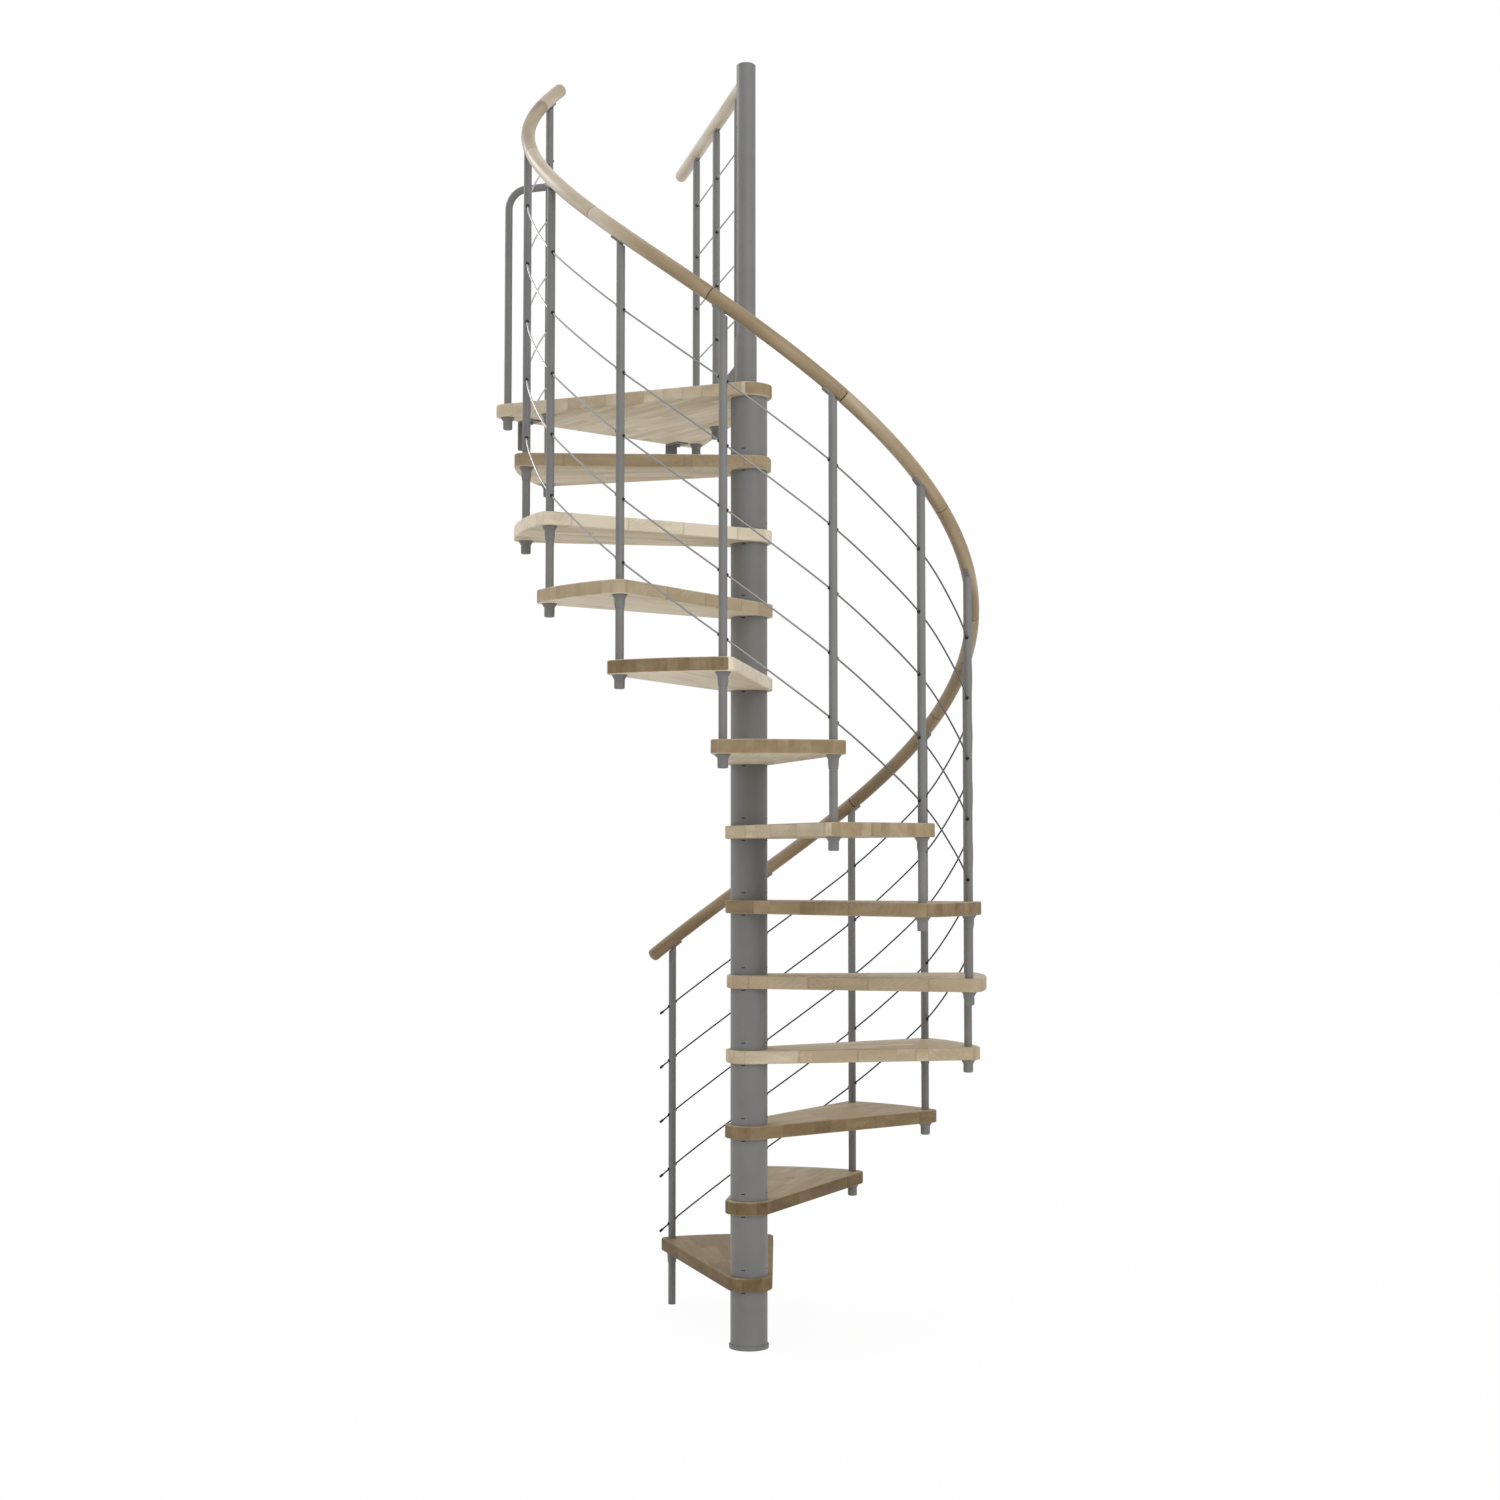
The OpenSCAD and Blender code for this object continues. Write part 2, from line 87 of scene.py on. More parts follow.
class WoodTone(Enum):
    """How pale a piece of wood is, from 0, brown, to 1, almost white."""

    DEEP = 0.12
    BROWN = 0.26
    NUT = 0.38
    MIDDLE = 0.49
    LIGHT = 0.65
    PALE = 0.78
    CREAM = 0.90
    WHITE = 1.00


def tones(words: str) -> tuple[WoodTone, ...]:
    """Reads a row of wood tones from their names."""
    return tuple(WoodTone[word] for word in words.split())


class FerruleEnd(Enum):
    """Lower end of a ferrule: open round a baluster that goes on, or closed under one that ends in it."""

    OPEN = "open"
    CLOSED = "closed"


def compass(point: Vector) -> tuple[float, float]:
    """Gives a point's distance from the column's axis and its compass angle; the height is ignored."""
    return math.hypot(point.x, point.y), math.atan2(point.x, point.y)


def heading(angle: float) -> Vector:
    """Gives the level direction of a compass angle."""
    return Vector((math.sin(angle), math.cos(angle), 0.0))


def node_middle(name: str) -> Vector:
    """Gives the middle of a CAD node's box."""
    low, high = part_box(name)
    return (Vector(low) + Vector(high)) / 2


def node_span(name: str) -> Vector:
    """Gives the three lengths of a CAD node's box."""
    low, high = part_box(name)
    return Vector(high) - Vector(low)


@dataclass(frozen=True)
class StairPlan:
    """Sizes and places that several sub-assemblies share; the main ones are read from the frame."""

    tread_count: int
    first_angle: float
    step_angle: float
    baluster_circle_r: float
    baluster_r: float
    first_top: float
    rise: float
    board_t: float
    column_r: float
    exit_angle: float
    guard_angle: float
    guard_first_r: float
    guard_pitch: float
    guard_count: int = 3
    rail_h: float = 947 * MM
    rail_r: float = 20 * MM
    guard_rail_h: float = 933 * MM
    guard_overhang: float = 250 * MM
    loop_w: float = 138 * MM
    loop_r: float = 11.5 * MM
    post_r: float = 28.5 * MM
    post_offset: float = 14 * MM
    saddle_drop: float = 24.2 * MM
    wire_count: int = 5
    wire_r: float = 2.5 * MM
    wire_first_h: float = 54 * MM
    wire_gap: float = 172 * MM
    wire_inset: float = 4 * MM
    guard_wire_h: float = 68 * MM
    wire_out_low: float = 42 * MM
    wire_out_high: float = 22 * MM

    @classmethod
    def from_frame(cls) -> StairPlan:
        """Reads the places of the treads, balusters, column and landing from the frame.

        Returns:
            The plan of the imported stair.
        """
        treads = [name for name in frame["nodes"] if name.startswith("tread_")]
        circle_r, first_angle = compass(node_middle("baluster_00"))
        second_angle = compass(node_middle("baluster_01"))[1]
        first_tread, second_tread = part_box("tread_01"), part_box("tread_02")
        baluster_d = node_span("baluster_00").x
        guard_middle_r, guard_angle = compass(node_middle("guard_balusters"))
        guard_span = node_span("guard_balusters")
        guard_l = math.hypot(guard_span.x - baluster_d, guard_span.y - baluster_d)
        out = next(m["axis"] for m in frame["record"]["mounts"] if m["name"] == "bracket_bore_near")
        return cls(
            tread_count=len(treads),
            first_angle=first_angle,
            step_angle=second_angle - first_angle,
            baluster_circle_r=circle_r,
            baluster_r=baluster_d / 2,
            first_top=first_tread[1][2],
            rise=second_tread[1][2] - first_tread[1][2],
            board_t=first_tread[1][2] - first_tread[0][2],
            column_r=node_span("column_sleeves").x / 2,
            exit_angle=math.atan2(out[0], out[1]),
            guard_angle=guard_angle,
            guard_first_r=guard_middle_r - guard_l / 2,
            guard_pitch=guard_l / (cls.guard_count - 1),
        )

    @property
    def climb(self) -> float:
        """Height gained for each radian of turn."""
        return self.rise / self.step_angle

    @property
    def pitch(self) -> float:
        """Slope of the helix on the circle of the balusters."""
        return math.atan2(self.climb, self.baluster_circle_r)

    @property
    def helix_per_radian(self) -> float:
        """Length along the helix for each radian of turn."""
        return math.hypot(self.climb, self.baluster_circle_r)

    @property
    def landing_top(self) -> float:
        """Height of the landing's upper face."""
        return self.tread_top(self.tread_count + 1)

    @property
    def guard_outer_r(self) -> float:
        """Distance of the guard rail's outermost baluster from the column's axis."""
        return self.guard_first_r + self.guard_pitch * (self.guard_count - 1)

    def baluster_angle(self, number: int) -> float:
        """Compass angle of a baluster, counted from 0 at the foot of the flight."""
        return self.first_angle + number * self.step_angle

    def tread_angle(self, number: int) -> float:
        """Compass angle of a tread's middle line, counted from 1."""
        return self.baluster_angle(number) - self.step_angle / 2

    def tread_top(self, number: int) -> float:
        """Height of a tread's upper face, counted from 1; the landing follows the last one."""
        return self.first_top + (number - 1) * self.rise

    def helix_height(self, angle: float, level: float) -> float:
        """Height at a compass angle of a helix that starts at a level beside the first baluster."""
        return level + (angle - self.first_angle) * self.climb

    @property
    def wire_rows(self) -> dict[str, Any]:
        """Rows of a rule that repeats a fitting on every wire."""
        return {"rows": self.wire_count, "row_gap": self.wire_gap}

    def along_flight(self, height: float, **more: Any) -> ArrayRule:
        """Rule of a fitting that every baluster of the flight has.

        Args:
            height: The fitting's height on the first baluster.
            more: Other fields of the rule.

        Returns:
            The rule.
        """
        return ArrayRule(
            columns=self.tread_count + 1, first_angle=self.first_angle, angle_step=self.step_angle,
            first_radius=self.baluster_circle_r, first_height=height, height_step=self.rise, **more,
        )

    def along_guard(self, height: float, **more: Any) -> ArrayRule:
        """Rule of a fitting that every baluster of the guard rail has.

        Args:
            height: The fitting's height.
            more: Other fields of the rule.

        Returns:
            The rule.
        """
        return ArrayRule(
            columns=self.guard_count, first_angle=self.guard_angle, first_radius=self.guard_first_r,
            first_height=height, radius_step=self.guard_pitch, **more,
        )


Operand = Union["Signal", float]


def math_step(operation: str, reflected: bool = False) -> Callable[..., Signal]:
    """Makes a method of Signal that adds a Math node.

    Args:
        operation: The node's operation.
        reflected: Whether the signal stands behind the other value.

    Returns:
        The method.
    """

    def step(signal: Signal, *others: Operand) -> Signal:
        """Adds the node."""
        values = (*others, signal) if reflected else (signal, *others)
        return signal.graph.math(operation, *values)

    return step


@dataclass(frozen=True)
class Signal:
    """One output of a node; Python expressions on it add Math nodes to its tree."""

    graph: NodeGraph
    socket: NodeSocket

    __add__, __radd__ = math_step("ADD"), math_step("ADD", reflected=True)
    __sub__, __rsub__ = math_step("SUBTRACT"), math_step("SUBTRACT", reflected=True)
    __mul__, __rmul__ = math_step("MULTIPLY"), math_step("MULTIPLY", reflected=True)
    __truediv__, __rtruediv__ = math_step("DIVIDE"), math_step("DIVIDE", reflected=True)
    root, size = math_step("SQRT"), math_step("ABSOLUTE")
    floor, fraction = math_step("FLOOR"), math_step("FRACT")
    sine, cosine = math_step("SINE"), math_step("COSINE")
    smaller, larger = math_step("MINIMUM"), math_step("MAXIMUM")

    def __neg__(self) -> Signal:
        """Negative."""
        return self * -1.0


class NodeGraph:
    """A node tree, for shaders or geometry, that grows by calls."""

    def __init__(self, tree: NodeTree) -> None:
        """Takes the tree that the nodes go into."""
        self.tree = tree

    def node(
        self, kind: str, settings: dict[str, Any] | None = None, inputs: dict[Any, Any] | None = None
    ) -> Node:
        """Adds one node.

        Args:
            kind: The node's type.
            settings: Its properties, set first; "stops" are the places and colours of a colour ramp.
            inputs: Values or signals for its sockets, by name or number.

        Returns:
            The new node.
        """
        made = self.tree.nodes.new(kind)
        for name, value in (settings or {}).items():
            if name == "stops":
                self._set_stops(made.color_ramp, value)
            else:
                setattr(made, name, value)
        for key, value in (inputs or {}).items():
            if isinstance(value, Signal):
                self.tree.links.new(value.socket, made.inputs[key])
            else:
                made.inputs[key].default_value = value
        return made

    @staticmethod
    def _set_stops(ramp: ColorRamp, stops: Sequence[tuple[float, Colour]]) -> None:
        """Gives a colour ramp its stops.

        Args:
            ramp: The ramp.
            stops: Place and colour of each stop, from low to high.
        """
        while len(ramp.elements) < len(stops):
            ramp.elements.new(1.0)
        for element, (place, colour) in zip(ramp.elements, stops):
            element.position = place
            element.color = colour

    def signal(
        self, kind: str, settings: dict[str, Any] | None = None, inputs: dict[Any, Any] | None = None,
        output: int | str = 0,
    ) -> Signal:
        """Adds one node and gives one of its outputs, by name or number."""
        return Signal(self, self.node(kind, settings, inputs).outputs[output])

    def math(self, operation: str, *values: Operand) -> Signal:
        """Adds a Math node."""
        return self.signal("ShaderNodeMath", {"operation": operation}, dict(enumerate(values)))

    def split(self, vector: Signal) -> tuple[Signal, Signal, Signal]:
        """Takes a vector apart."""
        parts = self.node("ShaderNodeSeparateXYZ", inputs={0: vector})
        return tuple(Signal(self, socket) for socket in parts.outputs)

    def join(self, x: Operand, y: Operand, z: Operand) -> Signal:
        """Puts three values together as a vector."""
        return self.signal("ShaderNodeCombineXYZ", inputs={0: x, 1: y, 2: z})


@dataclass(frozen=True)
class Noise:
    """Smooth noise: lumps in each metre, how many finer sizes show in them, and how strong these are."""

    per_m: float = 1.0
    detail: float = 2.0
    roughness: float = 0.5


class SurfaceGraph(NodeGraph):
    """The node tree of a new material."""

    MIX_FACTOR, MIX_FIRST, MIX_SECOND, MIX_RESULT = 0, 6, 7, 2

    def __init__(self, name: str) -> None:
        """Makes the material, with an empty tree.

        Args:
            name: The material's name.
        """
        self.material = bpy.data.materials.new(name)
        self.material.use_nodes = True
        super().__init__(self.material.node_tree)
        self.tree.nodes.clear()

    def place(self) -> Signal:
        """Object coordinates."""
        return self.signal("ShaderNodeTexCoord", output="Object")

    def attribute(self, name: str, output: str) -> Signal:
        """Value or vector that the mesh carries."""
        return self.signal("ShaderNodeAttribute", {"attribute_name": name}, output=output)

    def noise(self, place: Signal, kind: Noise) -> Signal:
        """Smooth noise from 0 to 1."""
        inputs = {"Vector": place, "Scale": kind.per_m, "Detail": kind.detail, "Roughness": kind.roughness}
        return self.signal("ShaderNodeTexNoise", inputs=inputs)

    def chance(self, x: Operand, y: Operand, z: Operand) -> Signal:
        """Random value from 0 to 1 that is the same wherever the three numbers are the same."""
        return self.signal("ShaderNodeTexWhiteNoise", inputs={"Vector": self.join(x, y, z)})

    def span(self, value: Operand, low: float, high: float) -> Signal:
        """Smooth step from 0 at the low value to 1 at the high value."""
        inputs = {"Value": value, "From Min": low, "From Max": high}
        return self.signal("ShaderNodeMapRange", {"interpolation_type": "SMOOTHSTEP"}, inputs)

    def blend(self, factor: Operand, first: Signal | Colour, second: Signal | Colour) -> Signal:
        """Mixes two colours."""
        inputs = {self.MIX_FACTOR: factor, self.MIX_FIRST: first, self.MIX_SECOND: second}
        return self.signal("ShaderNodeMix", {"data_type": "RGBA"}, inputs, self.MIX_RESULT)

    def ramp(self, value: Signal, stops: Sequence[tuple[float, Colour]]) -> Signal:
        """Colour ramp."""
        return self.signal("ShaderNodeValToRGB", {"stops": stops}, {"Fac": value})

    def relief(self, height: Signal, depth: float) -> Signal:
        """Normal of a surface with small hills and hollows."""
        return self.signal("ShaderNodeBump", inputs={"Height": height, "Distance": depth, "Strength": 1.0})

    def finish(self, inputs: dict[str, Any]) -> Material:
        """Adds the surface shader and the output.

        Args:
            inputs: Values or signals for the shader's sockets.

        Returns:
            The finished material.
        """
        shader = self.signal("ShaderNodeBsdfPrincipled", inputs=inputs)
        self.node("ShaderNodeOutputMaterial", inputs={"Surface": shader})
        return self.material


@dataclass(frozen=True)
class PowderCoat:
    """Satin grey powder coat with a fine orange peel and faint clouds of tone."""

    name: str = "grey_powder_coat"
    dark: Colour = (0.162, 0.161, 0.157, 1.0)
    light: Colour = (0.193, 0.191, 0.186, 1.0)
    clouds: Noise = Noise(6.0, 4.0, 0.6)
    lumps: Noise = Noise(520.0)
    cloud_share: float = 0.7
    tone_span: tuple[float, float] = (0.3, 0.7)
    lump_depth: float = 0.04 * MM
    roughness: float = 0.48
    roughness_swing: float = 0.14
    specular: float = 0.35

    def build(self) -> Material:
        """Makes the material.

        Returns:
            The finished material.
        """
        graph = SurfaceGraph(self.name)
        place = graph.place()
        clouds = graph.noise(place, self.clouds)
        lumps = graph.noise(place, self.lumps)
        mixture = clouds * self.cloud_share + lumps * (1.0 - self.cloud_share)
        colour = graph.blend(graph.span(mixture, *self.tone_span), self.dark, self.light)
        rough = self.roughness - self.roughness_swing / 2 + clouds * self.roughness_swing
        normal = graph.relief(lumps, self.lump_depth)
        return graph.finish({
            "Base Color": colour, "Roughness": rough, "Normal": normal, "Specular IOR Level": self.specular,
        })


@dataclass(frozen=True)
class Grain:
    """Marks of a wood: how many a metre has along and across the fibres, and their shares in its tone."""

    fine: float
    streaks_along: float = 4.5
    streaks_across: float = 30.0
    streak_detail: tuple[float, float] = (1.0, 3.75)
    streak_roughness: float = 0.55
    streak_share: float = 0.72
    rings_across: float = 1500.0
    ring_waver: float = 26.0
    ring_share: float = 0.1
    fibres_along: float = 16.0
    fibres_across: float = 480.0
    fibre_noise: Noise = Noise(roughness=0.6)
    fibre_share: float = 0.2
    flecks_along: float = 95.0
    flecks_across: float = 1400.0
    fleck_noise: Noise = Noise(detail=1.0)
    fleck_span: tuple[float, float] = (0.62, 0.74)
    fleck_share: float = 0.16
    fleck_depth: float = 0.6
    plain_tone: float = 0.11
    seed_shifts: tuple[float, float, float, float] = (37.0, 19.0, 11.0, 5.0)

    @property
    def streak_noise(self) -> Noise:
        """Noise of the broad streaks, with finer ones where small marks show."""
        least, more = self.streak_detail
        return Noise(detail=least + more * self.fine, roughness=self.streak_roughness)


class WoodGraph(SurfaceGraph):
    """The node tree of a wood whose fibres run along one direction."""

    def grain(
        self, along: Signal, across: Signal, up: Signal, seed: Signal, kind: Grain
    ) -> tuple[Signal, Signal]:
        """Makes streaks, growth rings and fibres.

        Args:
            along: Place along the fibres.
            across: Place across them.
            up: Place across them the other way.
            seed: Random value from 0 to 1 of one piece of wood.
            kind: The marks; its fine says how strong small ones show beside the broad streaks, from 0 to 1.

        Returns:
            Tone from 0, dark, to 1, pale, and the height of the relief from 0 to 1.
        """
        along_shift, across_shift, fibre_shift, fleck_shift = kind.seed_shifts
        streak_place = self.join(
            along * kind.streaks_along + seed * along_shift,
            across * kind.streaks_across + seed * across_shift,
            up * kind.streaks_across,
        )
        streaks = self.noise(streak_place, kind.streak_noise)
        lean = seed * 2.0 - 1.0
        ring_phase = (across + up * lean) * kind.rings_across + streaks * kind.ring_waver
        rings = ring_phase.sine() * 0.5 + 0.5
        fibre_place = self.join(
            along * kind.fibres_along + seed * fibre_shift,
            across * kind.fibres_across,
            up * kind.fibres_across,
        )
        fibres = self.noise(fibre_place, kind.fibre_noise)
        fleck_place = self.join(
            along * kind.flecks_along,
            across * kind.flecks_across + seed * fleck_shift,
            up * kind.flecks_across,
        )
        flecks = self.span(self.noise(fleck_place, kind.fleck_noise), *kind.fleck_span)
        marks = rings * kind.ring_share + fibres * kind.fibre_share - flecks * kind.fleck_share
        tone = streaks * kind.streak_share + marks * kind.fine + kind.plain_tone * (1.0 - kind.fine)
        return tone, fibres - flecks * kind.fleck_depth


@dataclass(frozen=True)
class StaveWood:
    """Lacquered board glued up from staves, each of blocks with a tone of their own."""

    name: str = "stave_board"
    stops: tuple[tuple[float, Colour], ...] = (
        (0.0, (0.120, 0.082, 0.042, 1.0)),
        (0.25, (0.225, 0.162, 0.090, 1.0)),
        (0.5, (0.350, 0.270, 0.168, 1.0)),
        (0.75, (0.475, 0.390, 0.268, 1.0)),
        (1.0, (0.740, 0.655, 0.520, 1.0)),
    )
    seam: Colour = (0.150, 0.100, 0.055, 1.0)
    stave_w: float = 30 * MM
    block_l: float = 260 * MM
    block_shift: float = 9.0
    block_swing: float = 0.13
    grain_swing: float = 0.55
    grain: Grain = Grain(fine=0.8)
    shift_key: tuple[float, float] = (3.0, 1.0)
    seed_key: float = 7.0
    tone_key: float = 29.0
    seam_w: float = 0.7 * MM
    seam_core: float = 0.25
    seam_strength: float = 0.25
    seam_dullness: float = 0.2
    fibre_gloss: float = 0.08
    fibre_depth: float = 0.05 * MM
    roughness: float = 0.56
    specular: float = 0.05
    place_attribute: ClassVar[str] = "board_place"
    tone_attribute: ClassVar[str] = "board_tone"

    def build(self) -> Material:
        """Makes the material.

        Returns:
            The finished material.
        """
        graph = WoodGraph(self.name)
        along, across, up = graph.split(graph.attribute(self.place_attribute, "Vector"))
        stave_run = across / self.stave_w
        stave = stave_run.floor()
        block_run = along / self.block_l + graph.chance(stave, *self.shift_key) * self.block_shift
        block = block_run.floor()
        seed = graph.chance(stave, block, self.seed_key)
        grain, height = graph.grain(along, across, up, seed, self.grain)
        block_tone = (graph.chance(stave, block, self.tone_key) - NOISE_MEAN) * self.block_swing
        grain_tone = (grain - NOISE_MEAN) * self.grain_swing
        colour = graph.ramp(graph.attribute(self.tone_attribute, "Fac") + block_tone + grain_tone, self.stops)
        seam = self._seam(graph, stave_run, self.stave_w).larger(self._seam(graph, block_run, self.block_l))
        colour = graph.blend(seam * self.seam_strength, colour, self.seam)
        rough = self.roughness - height * self.fibre_gloss + seam * self.seam_dullness
        normal = graph.relief(height - seam, self.fibre_depth)
        return graph.finish({
            "Base Color": colour, "Roughness": rough, "Normal": normal, "Specular IOR Level": self.specular,
        })

    def _seam(self, graph: WoodGraph, run: Signal, length: float) -> Signal:
        """Makes the mask of the glue line between two staves or blocks.

        Args:
            graph: The material's tree.
            run: Count of staves or blocks, with its fraction.
            length: Real length of one of them.

        Returns:
            1 on the line and 0 away from it.
        """
        distance = (0.5 - (run.fraction() - 0.5).size()) * length
        return 1.0 - graph.span(distance, self.seam_w * self.seam_core, self.seam_w)


@dataclass(frozen=True)
class RailWood:
    """Lacquered round rail turned from pieces of one pale wood."""

    name: str = "rail_turned_wood"
    stops: tuple[tuple[float, Colour], ...] = (
        (0.0, (0.110, 0.076, 0.040, 1.0)),
        (0.25, (0.188, 0.130, 0.068, 1.0)),
        (0.5, (0.298, 0.220, 0.128, 1.0)),
        (0.75, (0.450, 0.370, 0.260, 1.0)),
        (1.0, (0.640, 0.570, 0.460, 1.0)),
    )
    grain_swing: float = 0.85
    grain: Grain = Grain(fine=0.1)
    seed_key: tuple[float, float] = (5.0, 2.0)
    fibre_gloss: float = 0.08
    fibre_depth: float = 0.006 * MM
    roughness: float = 0.44
    specular: float = 0.35
    along_attribute: ClassVar[str] = "tube_along"
    cross_attribute: ClassVar[str] = "tube_cross"
    piece_attribute: ClassVar[str] = "tube_piece"
    tone_attribute: ClassVar[str] = "tube_tone"

    def build(self) -> Material:
        """Makes the material.

        Returns:
            The finished material.
        """
        graph = WoodGraph(self.name)
        along = graph.attribute(self.along_attribute, "Fac")
        across, up, _ = graph.split(graph.attribute(self.cross_attribute, "Vector"))
        piece = (graph.attribute(self.piece_attribute, "Fac") + 0.5).floor()
        seed = graph.chance(piece, *self.seed_key)
        grain, height = graph.grain(along, across, up, seed, self.grain)
        tone = graph.attribute(self.tone_attribute, "Fac") + (grain - NOISE_MEAN) * self.grain_swing
        return graph.finish({
            "Base Color": graph.ramp(tone, self.stops),
            "Roughness": self.roughness - height * self.fibre_gloss,
            "Normal": graph.relief(height, self.fibre_depth),
            "Specular IOR Level": self.specular,
        })


@dataclass(frozen=True)
class DrawnSteel:
    """Bare drawn steel with fine lengthwise scratches, from dull to bright by a stored level: a fixed shine
    on bolts and guard wires, and on the flight's wires a painted sheen that rises from the foot to the top.
    """

    name: str = "drawn_steel"
    dull: Colour = (0.040, 0.040, 0.041, 1.0)
    bright: Colour = (0.530, 0.530, 0.525, 1.0)
    clouds: Noise = Noise(30.0, 3.0)
    scratches: Noise = Noise(1800.0)
    mottle: float = 0.06
    roughness: float = 0.3
    roughness_swing: float = 0.12
    scratch_depth: float = 0.02 * MM
    polish_attribute: ClassVar[str] = RailWood.tone_attribute

    def build(self) -> Material:
        """Makes the material.

        Returns:
            The finished material.
        """
        graph = SurfaceGraph(self.name)
        place = graph.place()
        clouds = graph.noise(place, self.clouds)
        scratches = graph.noise(place, self.scratches)
        polish_and_sheen = graph.attribute(self.polish_attribute, "Fac")
        # Along the flight's wires this level is painted sheen: brighter towards the top, standing in for the
        # lamps' gleam on the upper wires.
        shade = polish_and_sheen * polish_and_sheen + (clouds + scratches - 2 * NOISE_MEAN) * self.mottle
        colour = graph.blend(shade, self.dull, self.bright)
        rough = self.roughness + scratches * self.roughness_swing
        normal = graph.relief(scratches, self.scratch_depth)
        return graph.finish({"Base Color": colour, "Metallic": 1.0, "Roughness": rough, "Normal": normal})


@dataclass(frozen=True)
class BlackPlastic:
    """Moulded black plastic with a fine matt grain."""

    name: str = "black_plastic"
    dark: Colour = (0.008, 0.008, 0.009, 1.0)
    light: Colour = (0.024, 0.024, 0.025, 1.0)
    grain: Noise = Noise(1600.0)
    roughness: float = 0.46
    roughness_swing: float = 0.2
    specular: float = 0.2
    grain_depth: float = 0.03 * MM

    def build(self) -> Material:
        """Makes the material.

        Returns:
            The finished material.
        """
        graph = SurfaceGraph(self.name)
        grain = graph.noise(graph.place(), self.grain)
        colour = graph.blend(grain, self.dark, self.light)
        rough = self.roughness + grain * self.roughness_swing
        normal = graph.relief(grain, self.grain_depth)
        return graph.finish({
            "Base Color": colour, "Roughness": rough, "Normal": normal, "Specular IOR Level": self.specular,
        })


@dataclass(frozen=True)
class Finishes:
    """The stair's materials."""

    steel: Material
    board: Material
    rail: Material
    wire: Material
    cap: Material

    @classmethod
    def build(cls) -> Finishes:
        """Makes every material once.

        Returns:
            The finishes.
        """
        return cls(
            PowderCoat().build(), StaveWood().build(), RailWood().build(),
            DrawnSteel().build(), BlackPlastic().build(),
        )


def make_object(name: str, mesh: Mesh) -> Object:
    """Adds a mesh to the scene, at the origin.

    Args:
        name: Name of the piece.
        mesh: Its shape, in place.

    Returns:
        The object.
    """
    made = bpy.data.objects.new(name, mesh)
    bpy.context.scene.collection.objects.link(made)
    return made


def settle(piece: Object, slot: Slot, replaced: Sequence[str] = ()) -> None:
    """Ties a finished piece to the stair's body.

    Args:
        piece: The piece.
        slot: Material slot that its finish comes from; not used.
        replaced: CAD nodes that it stands for.
    """
    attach(piece, "root")
    if replaced:
        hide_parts(*replaced)
    log.info("%s: %d faces", piece.name, len(piece.data.polygons))


def dress_nodes(finish: Material, *names: str) -> None:
    """Gives CAD nodes that stay their finish.

    Args:
        finish: The material.
        names: The nodes.
    """
    for name in names:
        for slot in frame["nodes"][name].material_slots:
            slot.material = finish
        log.info("%s: dressed with %s", name, finish.name)


def mark_points(mesh: Mesh, name: str, values: Sequence[float] | Sequence[Vector]) -> None:
    """Stores a number or a vector on every vertex.

    Args:
        mesh: The mesh.
        name: Name of the attribute.
        values: One value for each vertex.
    """
    if isinstance(values[0], Vector):
        marks = mesh.attributes.new(name, "FLOAT_VECTOR", "POINT")
        marks.data.foreach_set("vector", [number for value in values for number in value])
    else:
        marks = mesh.attributes.new(name, "FLOAT", "POINT")
        marks.data.foreach_set("value", values)


def mark_faces(mesh: Mesh, name: str, values: Sequence[float]) -> None:
    """Stores a number on every face."""
    marks = mesh.attributes.new(name, "FLOAT", "FACE")
    marks.data.foreach_set("value", values)


def face_outwards(mesh: Mesh, sharp_angle: float = math.radians(38)) -> None:
    """Turns the faces outwards and shades them smooth up to an angle.

    Args:
        mesh: A closed mesh.
        sharp_angle: Edges that turn by more stay sharp.
    """
    shape = bmesh.new()
    shape.from_mesh(mesh)
    bmesh.ops.recalc_face_normals(shape, faces=shape.faces)
    for face in shape.faces:
        face.smooth = True
    shape.to_mesh(mesh)
    shape.free()
    mesh.set_sharp_from_angle(angle=sharp_angle)


